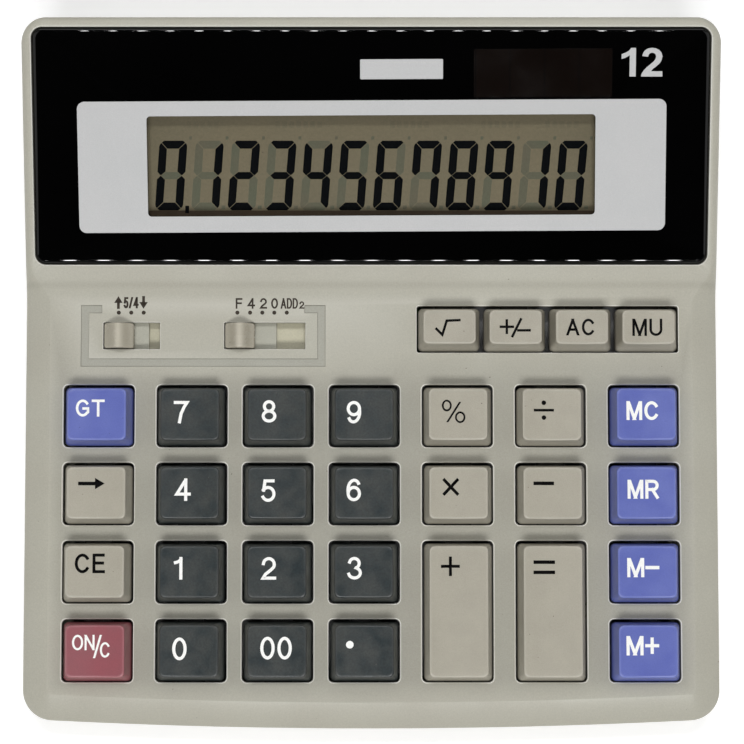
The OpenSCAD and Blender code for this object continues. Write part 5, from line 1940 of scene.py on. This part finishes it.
@dataclass
class Switches(Assembly):
    """The two slide switches, the guide under them and the marks printed beside them."""

    knob_w: float = 6.35
    knob_d: float = 5.4
    knob_h: float = 3.0
    knob_low: float = -2.7
    knob_soft: float = 0.4
    knob_corner: float = 0.45
    ridge_w: float = 2.2
    grip_h: float = 0.5
    edge_wear: Floats = (0.1, 0.35, 0.45, 0.35, 0.15, 0.0, 0.0, 0.0)
    fit: float = 0.27
    aprons: Pair = (3.1, 4.65)
    apron_half: float = 4.3
    apron_levels: Pair = (-3.2, -2.2)
    stem_half: Pair = (2.0, 0.5)
    stem_off: float = 3.8
    stem_levels: Pair = (-7.6, -3.1)
    dots: Floats = (-54.7, -52.0, -49.3, -29.0, -26.25, -23.6, -21.0, -18.3)
    dot_v: float = 89.34
    dot_r: float = 0.44
    words: tuple[Mark, ...] = (
        Mark("↑", 2.8, 0.6, -54.8, 91.55),
        Mark("5/4", 2.45, 0.44, -52.05, 91.5, 0.06, 0.55),
        Mark("↓", 2.8, 0.6, -49.35, 91.55),
        *(Mark(sign, 2.3, 0.38, u, 91.35) for sign, u in zip("F420", (-28.65, -26.0, -23.35, -20.95))),
        Mark("ADD", 2.3, 0.34, -17.75, 91.35, 0.1, 0.62),
        Mark("2", 1.6, 0.3, -15.05, 91.0),
    )

    def build(self) -> None:
        """Builds and dresses both switches, the guide and the marks."""
        slope, v = self.plan.keys, self.field.switch_v
        for name, (left, _), apron in zip(("rounding", "decimal"), self.field.slots, self.aprons):
            u = left + self.fit + self.knob_w / 2
            knob, foot = Skin(), Skin()
            self.knob(knob, u)
            self.piece(knob, name + "_knob", "slider", Palette.KNOB, [name + "_slider"], name + "_switch")
            loop = OPENING_LOOP.loop(self.knob_w / 2 + apron, self.apron_half, 0.2, u, v)
            foot.plate(slope, loop, [], *self.apron_levels, 0.1)
            foot.plate(slope, OPENING_LOOP.loop(*self.stem_half, 0.2, u, v - self.stem_off), [], *self.stem_levels)
            self.piece(foot, name + "_apron", "slider", Palette.APRON, body=name + "_switch")
        guide = self.shop.copy("switch_guide", "guide_strip", 0.12)
        self.shop.dress(guide, "housing", "guide", Palette.CREAM, ["switch_guide"])
        marks = Skin()
        for u in self.dots:
            Ink(marks, slope, (u, self.dot_v)).blot(oval(0, 0, self.dot_r, self.dot_r))
        for word in self.words:
            Ink(marks, slope).write(word)
        self.piece(marks, "panel_marks", "case", Palette.PANEL_INK)

    def knob(self, skin: Skin, u: float) -> None:
        """Adds a knob: rounded loops under a soft ridge, grip + (height - grip) e^-(x / width)^2 on top.

        Args:
            skin: Skin to add to.
            u: Place of the knob.
        """
        soft, half_w, half_d = self.knob_soft, self.knob_w / 2, self.knob_d / 2
        turn = np.radians(np.linspace(90, 0, 6))
        steps = np.linspace(1, 0.2, 13)
        inset = chain(half_d * steps, soft * (1 - np.cos(turn)))
        drop = chain(0 * steps, soft * (1 - np.sin(turn)))
        wide = half_w - np.where(np.arange(len(inset)) < len(steps), inset * half_w / half_d, inset)
        corner = self.knob_corner * (1 - inset / half_d)
        loops = KNOB_LOOP.loops(np.maximum(wide, 0), np.maximum(half_d - inset, 0), corner)
        ridge = np.exp(-((loops[..., 0] / self.ridge_w) ** 2))
        top = self.grip_h + (self.knob_h - self.grip_h) * ridge - drop[:, None]
        rest = KNOB_LOOP.loops([half_w, 0], [half_d, 0], [self.knob_corner, 0])
        rings = chain(loops, rest)
        height = chain(top, np.full(rest.shape[:2], self.knob_low))
        wear_and_painted_light = np.zeros(height.shape)
        # The crest lightens as a painted highlight, and the rounded edge round the top as rubbing and a painted
        # highlight
        wear_and_painted_light[: len(loops)] = ridge**6
        wear_and_painted_light[len(steps) :] += np.array(self.edge_wear)[:, None]
        skin.grid(self.plan.keys.place(u + rings[..., 0], self.field.switch_v + rings[..., 1], height), True, wear_and_painted_light)


@dataclass
class Keypad(Assembly):
    """The rubber sheet on the key board, with a dome under each plunger."""

    keys: Keyboard
    bottom: float = -9.0
    sheet_t: float = 0.8
    top: float = -4.3
    shoulder: float = -5.0
    roof: float = 1.0
    roof_soft: float = 0.2
    wall: float = 0.8
    base_r: float = 5.2
    neck_r: float = 3.2
    pill_r: float = 1.6
    pill_end: float = -7.3
    margin: float = 0.9
    step: float = 3.0
    screw_r: float = 2.5
    fit: float = 0.02

    def profile(self) -> list[Pair]:
        """Radius and height of a dome, from the roof down the cone and back up inside to the contact pill."""
        t, soft = np.linspace(0, 1, 7), self.roof_soft
        sheet, ceiling = self.bottom + self.sheet_t, self.top - self.roof
        spread = self.base_r - self.neck_r
        outer = zip(self.neck_r + spread * t, self.shoulder + (sheet - self.shoulder) * t)
        inner = zip(self.base_r - self.wall - spread * t, self.bottom + (ceiling - self.bottom) * t)
        roof = [(0, self.top), (self.neck_r - soft, self.top), (self.neck_r, self.top - soft)]
        pill = [(self.pill_r, ceiling), (self.pill_r, self.pill_end), (0, self.pill_end)]
        return [*roof, *outer, (self.base_r, self.bottom), *inner, *pill]

    def outline(self) -> Array:
        """Edge of the sheet: all columns wide, and beside the switches only as wide as the small keys."""
        f, reach = self.field, self.base_r + self.margin
        side, left = f.columns[-1] + reach, f.small_x - 1.5 * f.small_pitch - reach
        front, step, rear = f.row(4) - reach, f.row(1) + reach + self.step, f.small_v + reach
        return line((-side, front), (side, front), (side, rear), (left, rear), (left, step), (-side, step))

    def build(self) -> None:
        """Builds the domes, each reported with its key's body, and the sheet round them."""
        slope, sheet, hole_r = self.plan.keys, self.bottom + self.sheet_t, self.base_r + self.fit
        holes = [oval(u, v, self.screw_r, self.screw_r) for u, v in self.field.board_screws()]
        for key in KEYS:
            skin = Skin()
            u, v, shape = self.keys.place(key)
            domes = [v + shift for shift in shape.middles()]
            for dome in domes:
                skin.turned(slope, u, dome, self.profile(), 32)
                holes.append(oval(u, dome, hole_r, hole_r))
            start, end = (slope.place(u, domes[-1], w) for w in (sheet, self.shoulder))
            self.shop.bend(skin.build(key.piece("dome")), key.body, start, end, "keypad_rubber", Palette.KEYPAD)
        skin = Skin()
        skin.plate(slope, self.outline(), holes, self.bottom, sheet)
        self.piece(skin, "keypad_sheet", "keypad_rubber", Palette.KEYPAD, ["rubber_keypad"])


@dataclass
class Underside(Assembly):
    """The lower shell, battery door, feet and screws, and the works inside the case."""

    COPIES = (
        ("lower_case", "case_base", 0.22, "housing", "case_base", Palette.BASE),
        ("battery_door", "door_panel", 0.18, "door", "case_base", Palette.BASE),
        ("rubber_feet", "foot_pads", 0.35, "housing", "foot_rubber", Palette.RUBBER),
        ("case_screws", "screw_heads", 0.06, "housing", "screw", Palette.METAL),
    )
    WORKS = (
        (Palette.GLASS, "lcd_rear_glass"),
        (Palette.FILM, "lcd_reflector"),
        (Palette.HOLDER, "lcd_holder"),
        (Palette.STRIP, "contact_strip"),
        (Palette.BOARD, "display_board", "key_board"),
        (Palette.SOLAR, "solar_cell"),
        (Palette.EPOXY, "chip_cap"),
        (Palette.METAL, "rounding_wiper", "decimal_wiper", "positive_contact", "negative_contact", "board_screws"),
        (Palette.CELL, "battery_cell"),
        (Palette.WIRE, "battery_leads", "solar_leads"),
        (Palette.RIBBON, "display_ribbon"),
    )

    def build(self) -> None:
        """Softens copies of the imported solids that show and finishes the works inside."""
        for node, name, bevel, body, slot, finish in self.COPIES:
            self.shop.dress(self.shop.copy(node, name, bevel), body, slot, finish, [node])
        for finish, *nodes in self.WORKS:
            self.shop.paint(finish, *nodes)


def aim(thing: Thing, place: Vector, target: Vector) -> None:
    """Puts a lamp or camera into the scene at a place, turned towards a target, both in metres."""
    thing.location, thing.rotation_euler = place, (target - place).to_track_quat("-Z", "Y").to_euler()
    bpy.context.scene.collection.objects.link(thing)


@dataclass(frozen=True)
class Softbox:
    """An area lamp, or a row of narrow ones, that faces the calculator: sizes in metres, power in watts."""

    name: str
    place: Point
    size: Pair
    power: float
    count: int = 1
    pitch: float = 0.0

    def build(self) -> None:
        """Adds the lamps, all turned as the middle one, which faces the calculator."""
        lamp = bpy.data.lights.new(self.name, "AREA")
        lamp.shape = "RECTANGLE"
        lamp.size, lamp.size_y = self.size
        lamp.energy = self.power / self.count
        for k in range(self.count):
            shift = Vector(((k - (self.count - 1) / 2) * self.pitch, 0, 0))
            thing = bpy.data.objects.new(f"{self.name}_{k}", lamp)
            aim(thing, Vector(self.place) + shift, Vector((0, 0, 0.02)) + shift)


@dataclass
class Studio:
    """A pale floor, soft lamps and a camera over the calculator: camera in millimetres, sky as grey levels."""

    camera: Point = (0.17, -76.9, 508.2)
    target: Point = (0.17, 1.83, 14.44)
    lens: float = 110.66
    floor_half: float = 2500.0
    floor_corner: float = 300.0
    floor_levels: Pair = (-6.0, -0.02)
    sky_low: float = 0.8
    sky_high: float = 0.05
    sky_strength: float = 0.14
    lamps: tuple[Softbox, ...] = (
        Softbox("front_lamp", (0.0, -0.82, 1.13), (0.009, 0.3), 11.2, 21, 0.0277),
        Softbox("left_lamp", (-1.1, 0.1, 0.95), (1.1, 1.6), 3.5),
        Softbox("right_lamp", (1.1, 0.1, 0.95), (1.1, 1.6), 3.5),
        Softbox("rear_lamp", (0.0, 0.29, 1.17), (0.0046, 0.12), 3.8, 21, 0.0205),
        Softbox("back_lamp", (0.0, 1.3, 0.9), (1.6, 0.8), 4.0),
    )

    def build(self) -> None:
        """Sets the floor, sky, lamps and camera."""
        skin = Skin()
        skin.plate(LEVEL, FLOOR_LOOP.loop(self.floor_half, self.floor_half, self.floor_corner), [], *self.floor_levels)
        floor = skin.build("floor")
        Workshop.coat(floor, Palette.FLOOR)
        for lamp in self.lamps:
            lamp.build()
        self.sky()
        view = bpy.data.cameras.new("camera")
        view.sensor_width = 36.0
        view.sensor_fit = "HORIZONTAL"
        view.lens = self.lens
        view.clip_start = 0.01
        eye = bpy.data.objects.new("camera", view)
        aim(eye, Vector(self.camera) * MM, Vector(self.target) * MM)
        bpy.context.scene.camera = eye
        bpy.context.scene.view_settings.view_transform = "Standard"

    def sky(self) -> None:
        """Makes a sky that is pale at the horizon and dark overhead, so that gloss stays deep."""
        world = bpy.data.worlds.new("sky")
        world.use_nodes = True
        bpy.context.scene.world = world
        sh = Shader(world.node_tree)
        sh.tree.nodes.clear()
        up = sh.axis(sh.add("ShaderNodeTexCoord").outputs["Generated"], 2)
        high = sh.add("ShaderNodeMapRange", {"Value": up, "From Min": 0.35, "From Max": 0.8}).outputs[0]
        colour = sh.mix(high, *((grey, grey, grey, 1.0) for grey in (self.sky_low, self.sky_high)))
        back = sh.add("ShaderNodeBackground", {"Color": colour, "Strength": self.sky_strength})
        sh.add("ShaderNodeOutputWorld", {0: back.outputs[0]})


def main() -> None:
    """Builds the calculator's sub-assemblies in order."""
    logging.basicConfig(level=logging.INFO, format="%(name)s %(message)s")
    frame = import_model()
    shop = Workshop(frame)
    plan, keys = CasePlan(), KeyField()
    base = shop, plan, keys
    board = Keyboard(*base)
    Studio().build()
    for part in (CaseTop(*base), board, Keypad(*base, board), Display(*base), Switches(*base), Underside(*base)):
        part.build()
    log.info("%d pieces", len(shop.pieces))


if __name__ == "__main__":
    main()
